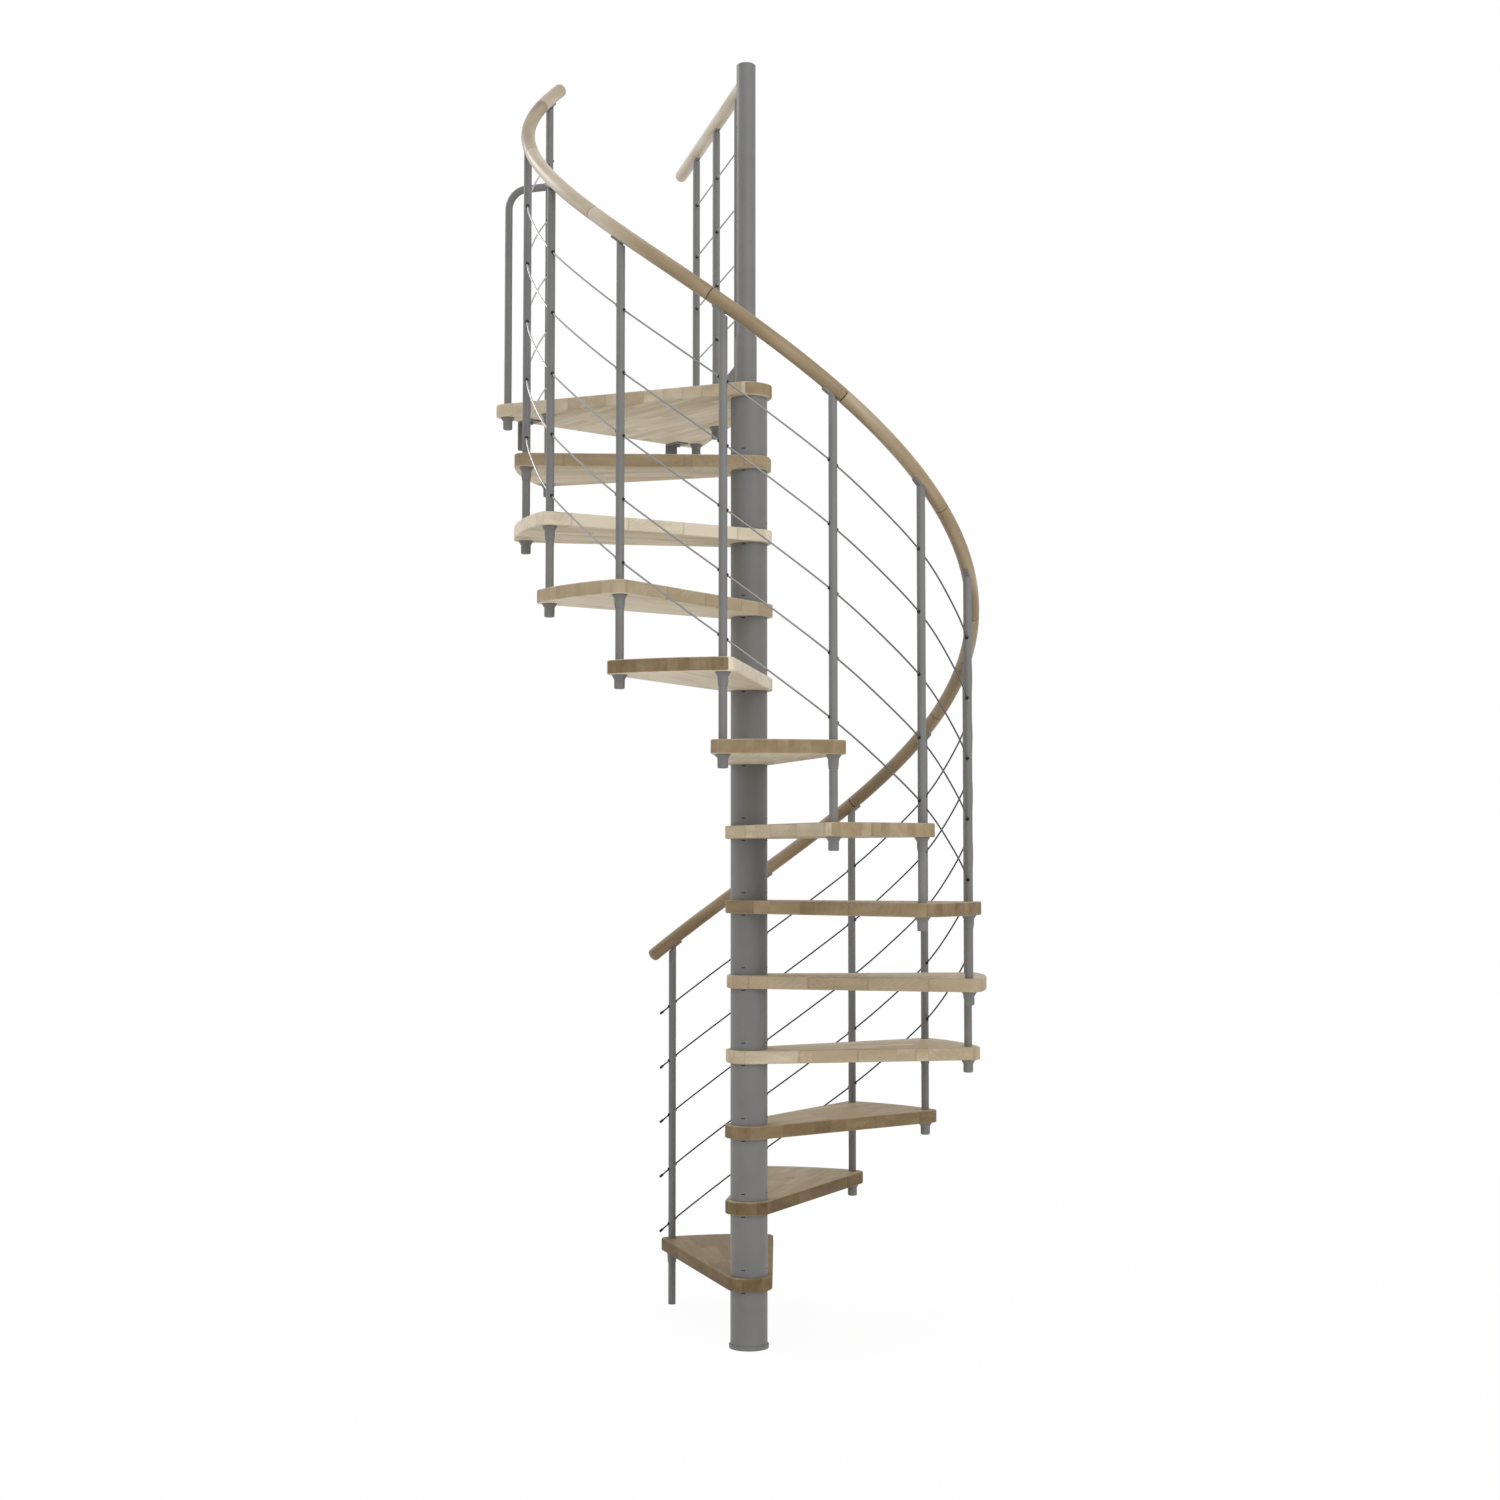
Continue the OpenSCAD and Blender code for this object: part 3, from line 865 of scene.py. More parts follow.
class PartShape:
    """Gathers turned and extruded shapes into the mesh of one small part."""

    def __init__(self) -> None:
        """Starts with nothing."""
        self.shape = bmesh.new()

    def turn(self, profile: Profile, sides: int, place: Matrix = Matrix()) -> PartShape:
        """Turns a profile round the part's Z axis.

        Args:
            profile: Radius and height of each ring; a radius of 0 is a pole. Where neither end is a pole, the
                last ring is joined to the first.
            sides: Number of sides.
            place: Moves the shape afterwards.

        Returns:
            This part.
        """
        rings = [self._ring(radius, height, sides, place) for radius, height in profile]
        pairs = list(zip(rings, rings[1:]))
        if profile[0][0] > 0 and profile[-1][0] > 0:
            pairs.append((rings[-1], rings[0]))
        for low, high in pairs:
            for side in range(sides):
                here, there = side, side + 1
                corners = (
                    low[here % len(low)], low[there % len(low)],
                    high[there % len(high)], high[here % len(high)],
                )
                self.shape.faces.new(tuple(dict.fromkeys(corners)))
        return self

    def _ring(self, radius: float, height: float, sides: int, place: Matrix) -> list[BMVert]:
        """Adds the vertices of one ring, or the one vertex of a pole.

        Args:
            radius: The ring's radius.
            height: Its height.
            sides: Number of sides.
            place: Where the shape goes.

        Returns:
            The vertices.
        """
        turns = [FULL_TURN * side / sides for side in range(sides if radius > 0 else 1)]
        points = [Vector((radius * math.cos(t), radius * math.sin(t), height)) for t in turns]
        return [self.shape.verts.new(place @ point) for point in points]

    def loft(self, rings: Sequence[Sequence[Vector]]) -> PartShape:
        """Joins rings of the same number of points, and closes both ends with a face.

        Args:
            rings: The points of each ring.

        Returns:
            This part.
        """
        loops = [[self.shape.verts.new(point) for point in ring] for ring in rings]
        count = len(loops[0])
        for low, high in zip(loops, loops[1:]):
            for here in range(count):
                there = (here + 1) % count
                self.shape.faces.new((low[here], low[there], high[there], high[here]))
        self.shape.faces.new(loops[0])
        self.shape.faces.new(loops[-1])
        return self

    def mesh(self, name: str) -> Mesh:
        """Closes the part.

        Args:
            name: Name of the mesh.

        Returns:
            The part's mesh, with its faces outwards.
        """
        made = bpy.data.meshes.new(name)
        self.shape.to_mesh(made)
        self.shape.free()
        face_outwards(made)
        return made


class ShapeTree(NodeGraph):
    """A Geometry Nodes tree with named sizes."""

    NUMBER, COUNT = "NodeSocketFloat", "NodeSocketInt"
    OBJECT, MATERIAL = "NodeSocketObject", "NodeSocketMaterial"

    def __init__(self, name: str) -> None:
        """Makes an empty tree.

        Args:
            name: The tree's name.
        """
        tree = bpy.data.node_groups.new(name, "GeometryNodeTree")
        tree.interface.new_socket("Geometry", in_out="OUTPUT", socket_type="NodeSocketGeometry")
        super().__init__(tree)
        self.entry = self.node("NodeGroupInput")
        self.identifiers: dict[str, str] = {}

    def size(self, name: str, kind: str = NUMBER) -> Signal:
        """Adds a named input.

        Args:
            name: The input's name.
            kind: Type of its socket.

        Returns:
            Its value inside the tree.
        """
        item = self.tree.interface.new_socket(name, in_out="INPUT", socket_type=kind)
        self.identifiers[name.lower().replace(" ", "_")] = item.identifier
        return Signal(self, self.entry.outputs[name])

    def sizes(self, *names: str) -> tuple[Signal, ...]:
        """Adds named inputs for plain numbers."""
        return tuple(self.size(name) for name in names)

    def store(self, geometry: Signal, name: str, value: Operand, data_type: str = "FLOAT") -> Signal:
        """Stores a value on the points of a shape.

        Args:
            geometry: The shape.
            name: Name of the attribute.
            value: The value at each point.
            data_type: Its type.

        Returns:
            The shape with the attribute.
        """
        settings = {"data_type": data_type, "domain": "POINT"}
        inputs = {"Geometry": geometry, "Name": name, "Value": value}
        return self.signal("GeometryNodeStoreNamedAttribute", settings, inputs)

    def line_of_points(self, count: Signal) -> Signal:
        """Makes a row of points, all at the origin."""
        settings = {"mode": "OFFSET", "count_mode": "TOTAL"}
        return self.signal("GeometryNodeMeshLine", settings, {"Count": count, "Offset": (0.0, 0.0, 0.0)})

    def close(self, geometry: Signal) -> None:
        """Ends the tree with plain geometry in the material that is given.

        Args:
            geometry: The finished shape.
        """
        material = self.size("Material", self.MATERIAL)
        plain = self.signal("GeometryNodeRealizeInstances", inputs={"Geometry": geometry})
        dressed = self.signal("GeometryNodeSetMaterial", inputs={"Geometry": plain, "Material": material})
        self.node("NodeGroupOutput", inputs={"Geometry": dressed})

    def grow(self, name: str, **values: Any) -> Object:
        """Runs the tree and keeps the result as a plain mesh.

        Args:
            name: Name of the piece.
            values: Value of each input, by its name in small letters.

        Returns:
            The piece.
        """
        holder = make_object("holder", bpy.data.meshes.new("holder"))
        modifier = holder.modifiers.new("shape", "NODES")
        modifier.node_group = self.tree
        for key, value in values.items():
            modifier[self.identifiers[key]] = value
        evaluated = holder.evaluated_get(bpy.context.evaluated_depsgraph_get())
        mesh = bpy.data.meshes.new_from_object(evaluated)
        holder.modifiers.remove(modifier)
        bpy.data.objects.remove(holder)
        face_outwards(mesh)
        return make_object(name, mesh)


class HelixTube(ShapeTree):
    """Round tube along a helix, with each end drawn in as a dome; between its holders it may cut inwards."""

    DOME_RINGS = 6

    def __init__(self) -> None:
        """Builds the tree."""
        super().__init__("helix_tube")
        start, end, path_r, climb = self.sizes("Start Angle", "End Angle", "Path Radius", "Climb")
        height, tube_r = self.sizes("Start Height", "Tube Radius")
        start_dome, end_dome = self.sizes("Start Dome", "End Dome")
        inset, bay_turn, first_bay, last_bay = self.sizes("Inset", "Bay Turn", "First Bay", "Last Bay")
        piece, start_tone, end_tone = self.sizes("Piece", "Start Tone", "End Tone")
        rings, sides = self.size("Rings", self.COUNT), self.size("Sides", self.COUNT)
        index = self.signal("GeometryNodeInputIndex")
        last = rings - 1.0
        dome = float(self.DOME_RINGS)
        start_turn = index.smaller(dome) / dome * QUARTER_TURN
        end_turn = (last - index).smaller(dome) / dome * QUARTER_TURN
        per_radian = (path_r * path_r + climb * climb).root()
        length = (end - start) * per_radian
        plain_rings = last - 2.0 * dome
        share = (index - dome).larger(0.0).smaller(plain_rings) / plain_rings
        middle = share * (length - start_dome - end_dome)
        along = start_dome * (1.0 - start_turn.cosine()) + middle + end_dome * end_turn.cosine()
        turn = along / per_radian
        angle = start + turn
        bay_run = (angle.larger(first_bay).smaller(last_bay) - first_bay) / bay_turn
        circle_r = path_r - inset * (1.0 - (bay_run * FULL_TURN).cosine()) / 2.0
        place = self.join(circle_r * angle.sine(), circle_r * angle.cosine(), height + turn * climb)
        points = self.signal("GeometryNodeSetPosition", inputs={
            "Geometry": self.line_of_points(rings), "Position": place,
        })
        path = self.signal("GeometryNodeMeshToCurve", inputs={"Mesh": points})
        path = self.store(path, RailWood.along_attribute, along)
        path = self.store(path, RailWood.tone_attribute, start_tone + (end_tone - start_tone) * share)
        round_settings, round_inputs = {"mode": "RADIUS"}, {"Resolution": sides, "Radius": tube_r}
        ring = self.signal("GeometryNodeCurvePrimitiveCircle", round_settings, round_inputs)
        spot = self.signal("GeometryNodeInputPosition")
        ring = self.store(ring, RailWood.cross_attribute, spot, "FLOAT_VECTOR")
        tube = self.signal("GeometryNodeCurveToMesh", inputs={
            "Curve": path, "Profile Curve": ring, "Scale": start_turn.sine() * end_turn.sine(),
        })
        tube = self.store(tube, RailWood.piece_attribute, piece)
        tube = self.signal("GeometryNodeMergeByDistance", inputs={
            "Geometry": tube, "Distance": MERGE_DISTANCE,
        })
        self.close(tube)


@dataclass(frozen=True)
class ArrayRule:
    """Where the copies of a fitting go: columns round or away from the axis, and rows above each other.

    In a copy's own frame, X runs along the climb, Y outwards and Z up. Each field is an input of the tree.
    """

    columns: int
    first_angle: float
    first_radius: float
    first_height: float
    angle_step: float = 0.0
    radius_step: float = 0.0
    height_step: float = 0.0
    rows: int = 1
    row_gap: float = 0.0
    tilt: float = 0.0


class FittingArray(ShapeTree):
    """Copies of one part, placed by an ArrayRule."""

    def __init__(self) -> None:
        """Builds the tree."""
        super().__init__("fitting_array")
        part = self.size("Part", self.OBJECT)
        columns, rows = self.size("Columns", self.COUNT), self.size("Rows", self.COUNT)
        first_angle, first_radius, first_height = self.sizes("First Angle", "First Radius", "First Height")
        angle_step, radius_step, height_step = self.sizes("Angle Step", "Radius Step", "Height Step")
        row_gap, tilt = self.sizes("Row Gap", "Tilt")
        index = self.signal("GeometryNodeInputIndex")
        column = ((index + 0.5) / rows).floor()
        row = index - column * rows
        angle = first_angle + column * angle_step
        radius = first_radius + column * radius_step
        height = first_height + column * height_step + row * row_gap
        place = self.join(radius * angle.sine(), radius * angle.cosine(), height)
        points = self.signal("GeometryNodeSetPosition", inputs={
            "Geometry": self.line_of_points(columns * rows), "Position": place,
        })
        shape = self.signal("GeometryNodeObjectInfo", inputs={"Object": part}, output="Geometry")
        facing = self.signal("FunctionNodeEulerToRotation", inputs={0: self.join(0.0, -tilt, -angle)})
        copies = self.signal("GeometryNodeInstanceOnPoints", inputs={
            "Points": points, "Instance": shape, "Rotation": facing,
        })
        self.close(copies)

    def lay(self, name: str, part: Mesh, rule: ArrayRule, finish: Material) -> Object:
        """Places copies of a part.

        Args:
            name: Name of the piece.
            part: The part, in its own frame.
            rule: Where the copies go.
            finish: Their material.

        Returns:
            The piece.
        """
        pattern = make_object("pattern", part)
        piece = self.grow(name, part=pattern, material=finish, **asdict(rule))
        bpy.data.objects.remove(pattern)
        return piece


def joined(name: str, pieces: Sequence[Object]) -> Object:
    """Joins objects into one.

    Args:
        name: Name of the result.
        pieces: The objects.

    Returns:
        The joined object.
    """
    first = pieces[0]
    with bpy.context.temp_override(
        active_object=first, object=first, selected_objects=pieces, selected_editable_objects=pieces
    ):
        bpy.ops.object.join()
    first.name = name
    return first


def softened_copy(node: str, edge_r: float, finish: Material) -> Object:
    """Copies a CAD node and rounds its long edges; the rims of bores stay as they are.

    Args:
        node: Name of the CAD node.
        edge_r: Radius of the rounding.
        finish: The copy's material.

    Returns:
        The copy.
    """
    sharp_angle, flat_angle = math.radians(50), math.radians(0.5)
    shortest_rim, edge_segments, round_profile = 200 * MM, 4, 0.5
    shape = bmesh.new()
    shape.from_mesh(frame["nodes"][node].data)
    bmesh.ops.remove_doubles(shape, verts=shape.verts, dist=MERGE_DISTANCE)
    bmesh.ops.dissolve_limit(
        shape, angle_limit=flat_angle, verts=shape.verts, edges=shape.edges, use_dissolve_boundaries=False
    )
    sharp = {edge for edge in shape.edges if edge.is_manifold and edge.calc_face_angle() > sharp_angle}
    rounded: list[BMEdge] = []
    while sharp:
        rim = connected_edges(sharp.pop(), sharp)
        if sum(edge.calc_length() for edge in rim) > shortest_rim:
            rounded.extend(rim)
    bmesh.ops.bevel(
        shape, geom=rounded, offset=edge_r, segments=edge_segments, profile=round_profile, affect="EDGES",
        clamp_overlap=True,
    )
    for face in shape.faces:
        face.smooth = True
    mesh = bpy.data.meshes.new(node + "_softened")
    shape.to_mesh(mesh)
    shape.free()
    mesh.set_sharp_from_angle(angle=sharp_angle)
    holder = make_object("holder", mesh)
    modifier = holder.modifiers.new("flat faces first", "WEIGHTED_NORMAL")
    modifier.keep_sharp = True
    evaluated = holder.evaluated_get(bpy.context.evaluated_depsgraph_get())
    result = bpy.data.meshes.new_from_object(evaluated)
    bpy.data.objects.remove(holder)
    result.materials.clear()
    result.materials.append(finish)
    return make_object(node + "_piece", result)


def connected_edges(start: BMEdge, others: set[BMEdge]) -> list[BMEdge]:
    """Takes from a set the edges that hang together with one.

    Args:
        start: The first edge.
        others: Edges to choose from; those that are taken leave the set.

    Returns:
        The connected edges.
    """
    found = [start]
    for edge in found:
        for vertex in edge.verts:
            nearby = [other for other in vertex.link_edges if other in others]
            others.difference_update(nearby)
            found.extend(nearby)
    return found


@dataclass
class Assembly:
    """A sub-assembly, with the plan, finishes and trees that it is made with."""

    plan: StairPlan
    finishes: Finishes
    tube: HelixTube
    array: FittingArray


@dataclass
class Column(Assembly):
    """Floor flange, sleeves between the treads, and dark plugs at the key slots, painted shade that stands in
    for the slots' dark insides.
    """

    flange_edge_r: float = 1.5 * MM
    slot_w: float = 12 * MM
    slot_h: float = 2.8 * MM
    slot_proud: float = 0.25 * MM
    slots_round: int = 4
    slot_angle: float = math.radians(198)
    slot_above: float = 22 * MM
    slot_below: float = 5 * MM
    lip_share: float = 0.8
    well_share: float = 0.62
    well_level: float = 0.4
    arc_points: int = 5

    def build(self) -> None:
        """Dresses the sleeves, rounds the flange and adds dark slot plugs, painted shade, above and below
        every tread.
        """
        plan, steel = self.plan, self.finishes.steel
        dress_nodes(steel, "column_sleeves")
        flange = softened_copy("base_flange", self.flange_edge_r, steel)
        settle(flange, Slot.STEEL, ("base_flange",))
        heights = {
            "above": plan.first_top + self.slot_above,
            "below": plan.first_top - plan.board_t - self.slot_below,
        }
        for side, height in heights.items():
            rule = ArrayRule(
                columns=self.slots_round, first_angle=self.slot_angle, first_radius=plan.column_r,
                first_height=height, angle_step=FULL_TURN / self.slots_round, rows=plan.tread_count,
                row_gap=plan.rise,
            )
            # The plugs take the black plastic finish as painted shade for the slots' insides.
            piece = self.array.lay("key_slots_" + side, self._slot_mesh(), rule, self.finishes.cap)
            settle(piece, Slot.CAP)

    def _slot_mesh(self) -> Mesh:
        """Makes one slot's dark plug, curved to the column: a black shape that paints the shade inside the
        slot.

        Returns:
            The plug, in the frame of a copy on the column.
        """
        outer, rim = (1.0, -self.slot_proud), (1.0, self.slot_proud)
        lip, well = (self.lip_share, self.slot_proud), (self.well_share, self.slot_proud * self.well_level)
        rings = [self._slot_ring(share, proud) for share, proud in (outer, rim, lip, well)]
        return PartShape().loft(rings).mesh("key_slot")

    def _slot_ring(self, share: float, proud: float) -> list[Vector]:
        """Gives a slot-shaped ring of points.

        Args:
            share: Share of the slot's width and height.
            proud: Height over the column's surface.

        Returns:
            The points, in the frame of a copy on the column.
        """
        radius, reach = self.slot_h / 2 * share, (self.slot_w - self.slot_h) / 2
        column_r = self.plan.column_r
        points = []
        for end in (1, -1):
            for step in range(self.arc_points):
                turn = math.pi * step / (self.arc_points - 1) - QUARTER_TURN
                x = end * (reach * share + radius * math.cos(turn))
                bend = math.sqrt((column_r + proud) ** 2 - x * x) - column_r
                points.append(Vector((x, bend, end * radius * math.sin(turn))))
        return points


@dataclass
class Boards(Assembly):
    """Twelve treads and the landing."""

    edge_r: float = 4 * MM
    board_shift: float = 1.37
    # Tones of each board's flat faces, sides, outer ends and hub ends, from the foot up: partly the wood's
    # own tone, partly painted shade and light, darker on the lower boards and paler on the upper boards'
    # undersides.
    face_tones: tuple[WoodTone, ...] = tones(
        "NUT LIGHT LIGHT PALE PALE LIGHT LIGHT CREAM WHITE WHITE CREAM CREAM CREAM"
    )
    side_tones: tuple[WoodTone, ...] = tones(
        "DEEP DEEP BROWN PALE LIGHT NUT PALE NUT WHITE LIGHT WHITE MIDDLE PALE"
    )
    rim_tones: tuple[WoodTone, ...] = tones(
        "DEEP DEEP BROWN PALE LIGHT BROWN MIDDLE NUT BROWN LIGHT WHITE MIDDLE MIDDLE"
    )
    hub_tones: tuple[WoodTone, ...] = tones(
        "DEEP DEEP BROWN PALE LIGHT NUT PALE NUT WHITE LIGHT WHITE MIDDLE NUT"
    )
    rim_from: float = 0.7
    hub_from: float = -0.65

    def build(self) -> None:
        """Makes each board from its node, with staves along its middle line."""
        plan = self.plan
        directions = {f"tread_{n:02d}": plan.tread_angle(n) for n in range(1, plan.tread_count + 1)}
        directions["landing"] = plan.exit_angle
        for number, (node, angle) in enumerate(directions.items()):
            board = softened_copy(node, self.edge_r, self.finishes.board)
            self._mark_staves(board.data, angle, number * self.board_shift)
            self._mark_tones(board.data, angle, number)
            settle(board, Slot.BOARD, (node,))

    def _mark_staves(self, mesh: Mesh, angle: float, shift: float) -> None:
        """Stores each vertex's place along, across and up the board.

        Args:
            mesh: The board.
            angle: Compass angle that the staves run along.
            shift: Moves the pattern, so that no two boards are alike.
        """
        along = heading(angle)
        across = Vector((math.cos(angle), -math.sin(angle), 0.0))
        points = [vertex.co for vertex in mesh.vertices]
        places = [Vector((p.dot(along) + shift, p.dot(across) + shift, p.z)) for p in points]
        mark_points(mesh, StaveWood.place_attribute, places)

    def _mark_tones(self, mesh: Mesh, angle: float, number: int) -> None:
        """Stores the tone of each face: a board's flat faces, sides and ends have tones of their own, partly
        the wood's and partly painted light and shade.

        Args:
            mesh: The board.
            angle: Compass angle that the board points along.
            number: Number of the board, from 0.
        """
        outwards = heading(angle)
        choices = (self.face_tones, self.side_tones, self.rim_tones, self.hub_tones)
        face_tone, side_tone, rim_tone, hub_tone = (choice[number].value for choice in choices)
        marks = []
        for face in mesh.polygons:
            outward = face.normal.dot(outwards)
            end_tone = rim_tone if outward > self.rim_from else hub_tone
            edge_tone = side_tone if self.hub_from <= outward <= self.rim_from else end_tone
            # Flat faces take the face tone and upright ones the edge tone; the gap between them partly paints
            # the light on tops and undersides.
            marks.append(edge_tone + (face_tone - edge_tone) * face.normal.z ** 2)
        mark_faces(mesh, StaveWood.tone_attribute, marks)


@dataclass
class Balusters(Assembly):
    """Balusters, the corner loop, and the ferrules that hold them under the boards."""

    flange_r: float = 21 * MM
    flange_t: float = 3 * MM
    neck_r: float = 14.5 * MM
    taper: float = 9 * MM
    foot_r: float = 13.0 * MM
    foot_taper: float = 14 * MM
    chamfer: float = 3.5 * MM
    chamfer_bow: float = 0.3
    height: float = 38 * MM
    bore_clear: float = 0.3 * MM
    edge_r: float = 0.7 * MM
    sides: int = 40

    def build(self) -> None:
        """Dresses the tubes and makes the ferrules."""
        plan, steel = self.plan, self.finishes.steel
        tubes = [f"baluster_{number:02d}" for number in range(plan.tread_count + 1)]
        dress_nodes(steel, *tubes, "guard_balusters", "corner_loop")
        lay = self.array.lay
        open_part = self._ferrule("open_ferrule", plan.baluster_r, FerruleEnd.OPEN)
        closed_part = self._ferrule("closed_ferrule", plan.baluster_r, FerruleEnd.CLOSED)
        loop_part = self._ferrule("loop_ferrule", plan.loop_r, FerruleEnd.CLOSED)
        under_landing = plan.landing_top - plan.board_t
        last_angle = plan.baluster_angle(plan.tread_count)
        passing = plan.along_flight(plan.first_top - plan.board_t)
        ending = replace(passing, columns=plan.tread_count, first_angle=plan.baluster_angle(1))
        loop = ArrayRule(1, last_angle, plan.baluster_circle_r + plan.loop_w, under_landing)
        guard = plan.along_guard(under_landing)
        pieces = [
            lay("ferrules_open", open_part, passing, steel),
            lay("ferrules_closed", closed_part, ending, steel),
            lay("ferrules_loop", loop_part, loop, steel),
            lay("ferrules_guard", closed_part, guard, steel),
        ]
        settle(joined("ferrules", pieces), Slot.STEEL, ("baluster_ferrules",))

    def _ferrule(self, name: str, tube_r: float, end: FerruleEnd) -> Mesh:
        """Makes a turned ferrule, hanging down from a board's underside.

        Args:
            name: Name of the mesh.
            tube_r: Radius of the tube that it holds.
            end: Shape of its lower end.

        Returns:
            The part.
        """
        bore_r = tube_r + self.bore_clear
        neck_r = self.neck_r + tube_r - self.plan.baluster_r
        collar = [
            (self.flange_r, 0.0),
            (self.flange_r, -self.flange_t + self.edge_r),
            (self.flange_r - self.edge_r, -self.flange_t),
            (neck_r + self.edge_r, -self.flange_t - self.taper + self.edge_r),
            (neck_r, -self.flange_t - self.taper - self.edge_r),
        ]
        if end is FerruleEnd.OPEN:
            foot = [
                (neck_r, -self.height + self.foot_taper),
                (self.foot_r, -self.height + self.edge_r),
                (self.foot_r - self.edge_r, -self.height),
                (bore_r, -self.height),
            ]
            return PartShape().turn([(bore_r, 0.0)] + collar + foot, self.sides).mesh(name)
        foot = [
            (neck_r, -self.height + self.chamfer),
            (neck_r - self.chamfer * self.chamfer_bow, -self.height + self.chamfer * self.chamfer_bow),
            (neck_r - self.chamfer, -self.height),
            (0.0, -self.height),
        ]
        return PartShape().turn([(0.0, 0.0)] + collar + foot, self.sides).mesh(name)


@dataclass
class Handrails(Assembly):
    """Helical handrail in jointed pieces, the straight guard rail, and the saddles that carry them."""

    overrun: float = math.radians(6.5)
    piece_turn: float = math.radians(31.7)
    last_turn: float = math.radians(12.4)
    joint_gap: float = 0.9 * MM
    joint_dome: float = 1.5 * MM
    end_dome: float = 11 * MM
    rings_per_degree: float = 1.2
    sides: int = 40
    seat_depth: float = 4 * MM
    saddle_l: float = 42 * MM
    saddle_w: float = 17 * MM
    saddle_clear: float = 0.2 * MM
    saddle_ease: float = 1.0 * MM
    saddle_rounding: float = 0.55
    saddle_bow: tuple[float, float] = (0.3, 0.25)
    hollow_steps: int = 6
    screw_r: float = 3.4 * MM
    screw_h: float = 1.8 * MM
    screw_place: float = 15 * MM
    screw_crown: tuple[float, float] = (0.6, 0.8)
    screw_sunk: float = 0.3
    screw_sides: int = 10
    guard_piece: float = 20.0
    guard_tone: WoodTone = WoodTone.CREAM
    # Tones at the lower and upper end of each piece, from the top down: darker towards the foot of the
    # flight, partly the wood's own tone and partly painted shade.
    low_tones: tuple[WoodTone, ...] = tones(
        "PALE LIGHT PALE MIDDLE MIDDLE MIDDLE MIDDLE MIDDLE BROWN NUT NUT"
    )
    high_tones: tuple[WoodTone, ...] = tones(
        "PALE MIDDLE CREAM CREAM MIDDLE LIGHT MIDDLE MIDDLE MIDDLE NUT MIDDLE"
    )

    def build(self) -> None:
        """Makes both rails and their saddles."""
        settle(self._spiral(), Slot.RAIL, ("spiral_handrail",))
        guard = make_object("guard_rail_bar", self._guard_bar())
        guard.data.materials.append(self.finishes.rail)
        settle(guard, Slot.RAIL, ("guard_handrail",))
        self._saddles()

    def _spiral(self) -> Object:
        """Makes the helical rail's pieces, counted from the top.

        Returns:
            The pieces, joined.
        """
        plan = self.plan
        start = plan.first_angle - self.overrun
        top = plan.baluster_angle(plan.tread_count) + self.overrun
        joint = top - self.last_turn
        cuts = [top]
        while joint > start:
            cuts.append(joint)
            joint -= self.piece_turn
        cuts.append(start)
        half_gap = self.joint_gap / 2 / plan.helix_per_radian
        level = plan.first_top + plan.rail_h
        pieces = []
        for number, (high, low) in enumerate(zip(cuts, cuts[1:])):
            is_first, is_last = number == 0, number == len(cuts) - 2
            low += 0.0 if is_last else half_gap
            high -= 0.0 if is_first else half_gap
            pieces.append(self.tube.grow(
                f"rail_piece_{number}", start_angle=low, end_angle=high, path_radius=plan.baluster_circle_r,
                climb=plan.climb, start_height=plan.helix_height(low, level), tube_radius=plan.rail_r,
                start_dome=self.end_dome if is_last else self.joint_dome,
                end_dome=self.end_dome if is_first else self.joint_dome, piece=float(number),
                start_tone=self.low_tones[number].value, end_tone=self.high_tones[number].value,
                rings=int(math.degrees(high - low) * self.rings_per_degree) + 3 * HelixTube.DOME_RINGS,
                sides=self.sides, material=self.finishes.rail,
            ))
        return joined("spiral_rail_pieces", pieces)

    def _guard_bar(self) -> Mesh:
        """Makes the straight rail from the post outwards.

        Returns:
            The bar's mesh, in place, with its grain marked.
        """
        plan = self.plan
        turn = plan.guard_angle - plan.exit_angle
        post_along, post_aside = plan.post_offset * math.cos(turn), plan.post_offset * math.sin(turn)
        start = post_along + math.sqrt(plan.post_r ** 2 - post_aside ** 2) - self.seat_depth
        end = plan.guard_outer_r + plan.guard_overhang
        dome_steps = HelixTube.DOME_RINGS
        profile = [(0.0, start), (plan.rail_r, start)]
        for step in range(dome_steps + 1):
            bend = QUARTER_TURN * step / dome_steps
            radius = 0.0 if step == dome_steps else plan.rail_r * math.cos(bend)
            profile.append((radius, end - self.end_dome + self.end_dome * math.sin(bend)))
        bar = PartShape().turn(profile, self.sides).mesh("guard_rail_bar")
        self._mark_grain(bar)
        height = plan.landing_top + plan.guard_rail_h
        bar.transform(
            Matrix.Translation((0.0, 0.0, height)) @ Matrix.Rotation(-plan.guard_angle, 4, "Z") @ ALONG_Y)
        return bar

    def _mark_grain(self, bar: Mesh) -> None:
        """Stores where each vertex of a bar lies along and across it.

        Args:
            bar: The bar, along Z.
        """
        points = [vertex.co.copy() for vertex in bar.vertices]
        mark_points(bar, RailWood.along_attribute, [p.z for p in points])
        mark_points(bar, RailWood.cross_attribute, [Vector((p.x, p.y, 0.0)) for p in points])
        mark_points(bar, RailWood.piece_attribute, [self.guard_piece] * len(points))
        mark_points(bar, RailWood.tone_attribute, [self.guard_tone.value] * len(points))

    def _saddles(self) -> None:
        """Makes a saddle with two screws on every baluster that carries a rail."""
        plan, steel = self.plan, self.finishes.steel
        spiral = plan.along_flight(plan.first_top + plan.rail_h, tilt=plan.pitch)
        guard = plan.along_guard(plan.landing_top + plan.guard_rail_h)
        across = Matrix.Rotation(QUARTER_TURN, 4, "Z")
        pieces = [
            self.array.lay("saddles_spiral", self._saddle(Matrix()), spiral, steel),
            self.array.lay("saddles_guard", self._saddle(across), guard, steel),
        ]
        settle(joined("rail_saddles", pieces), Slot.STEEL, ("handrail_saddles",))

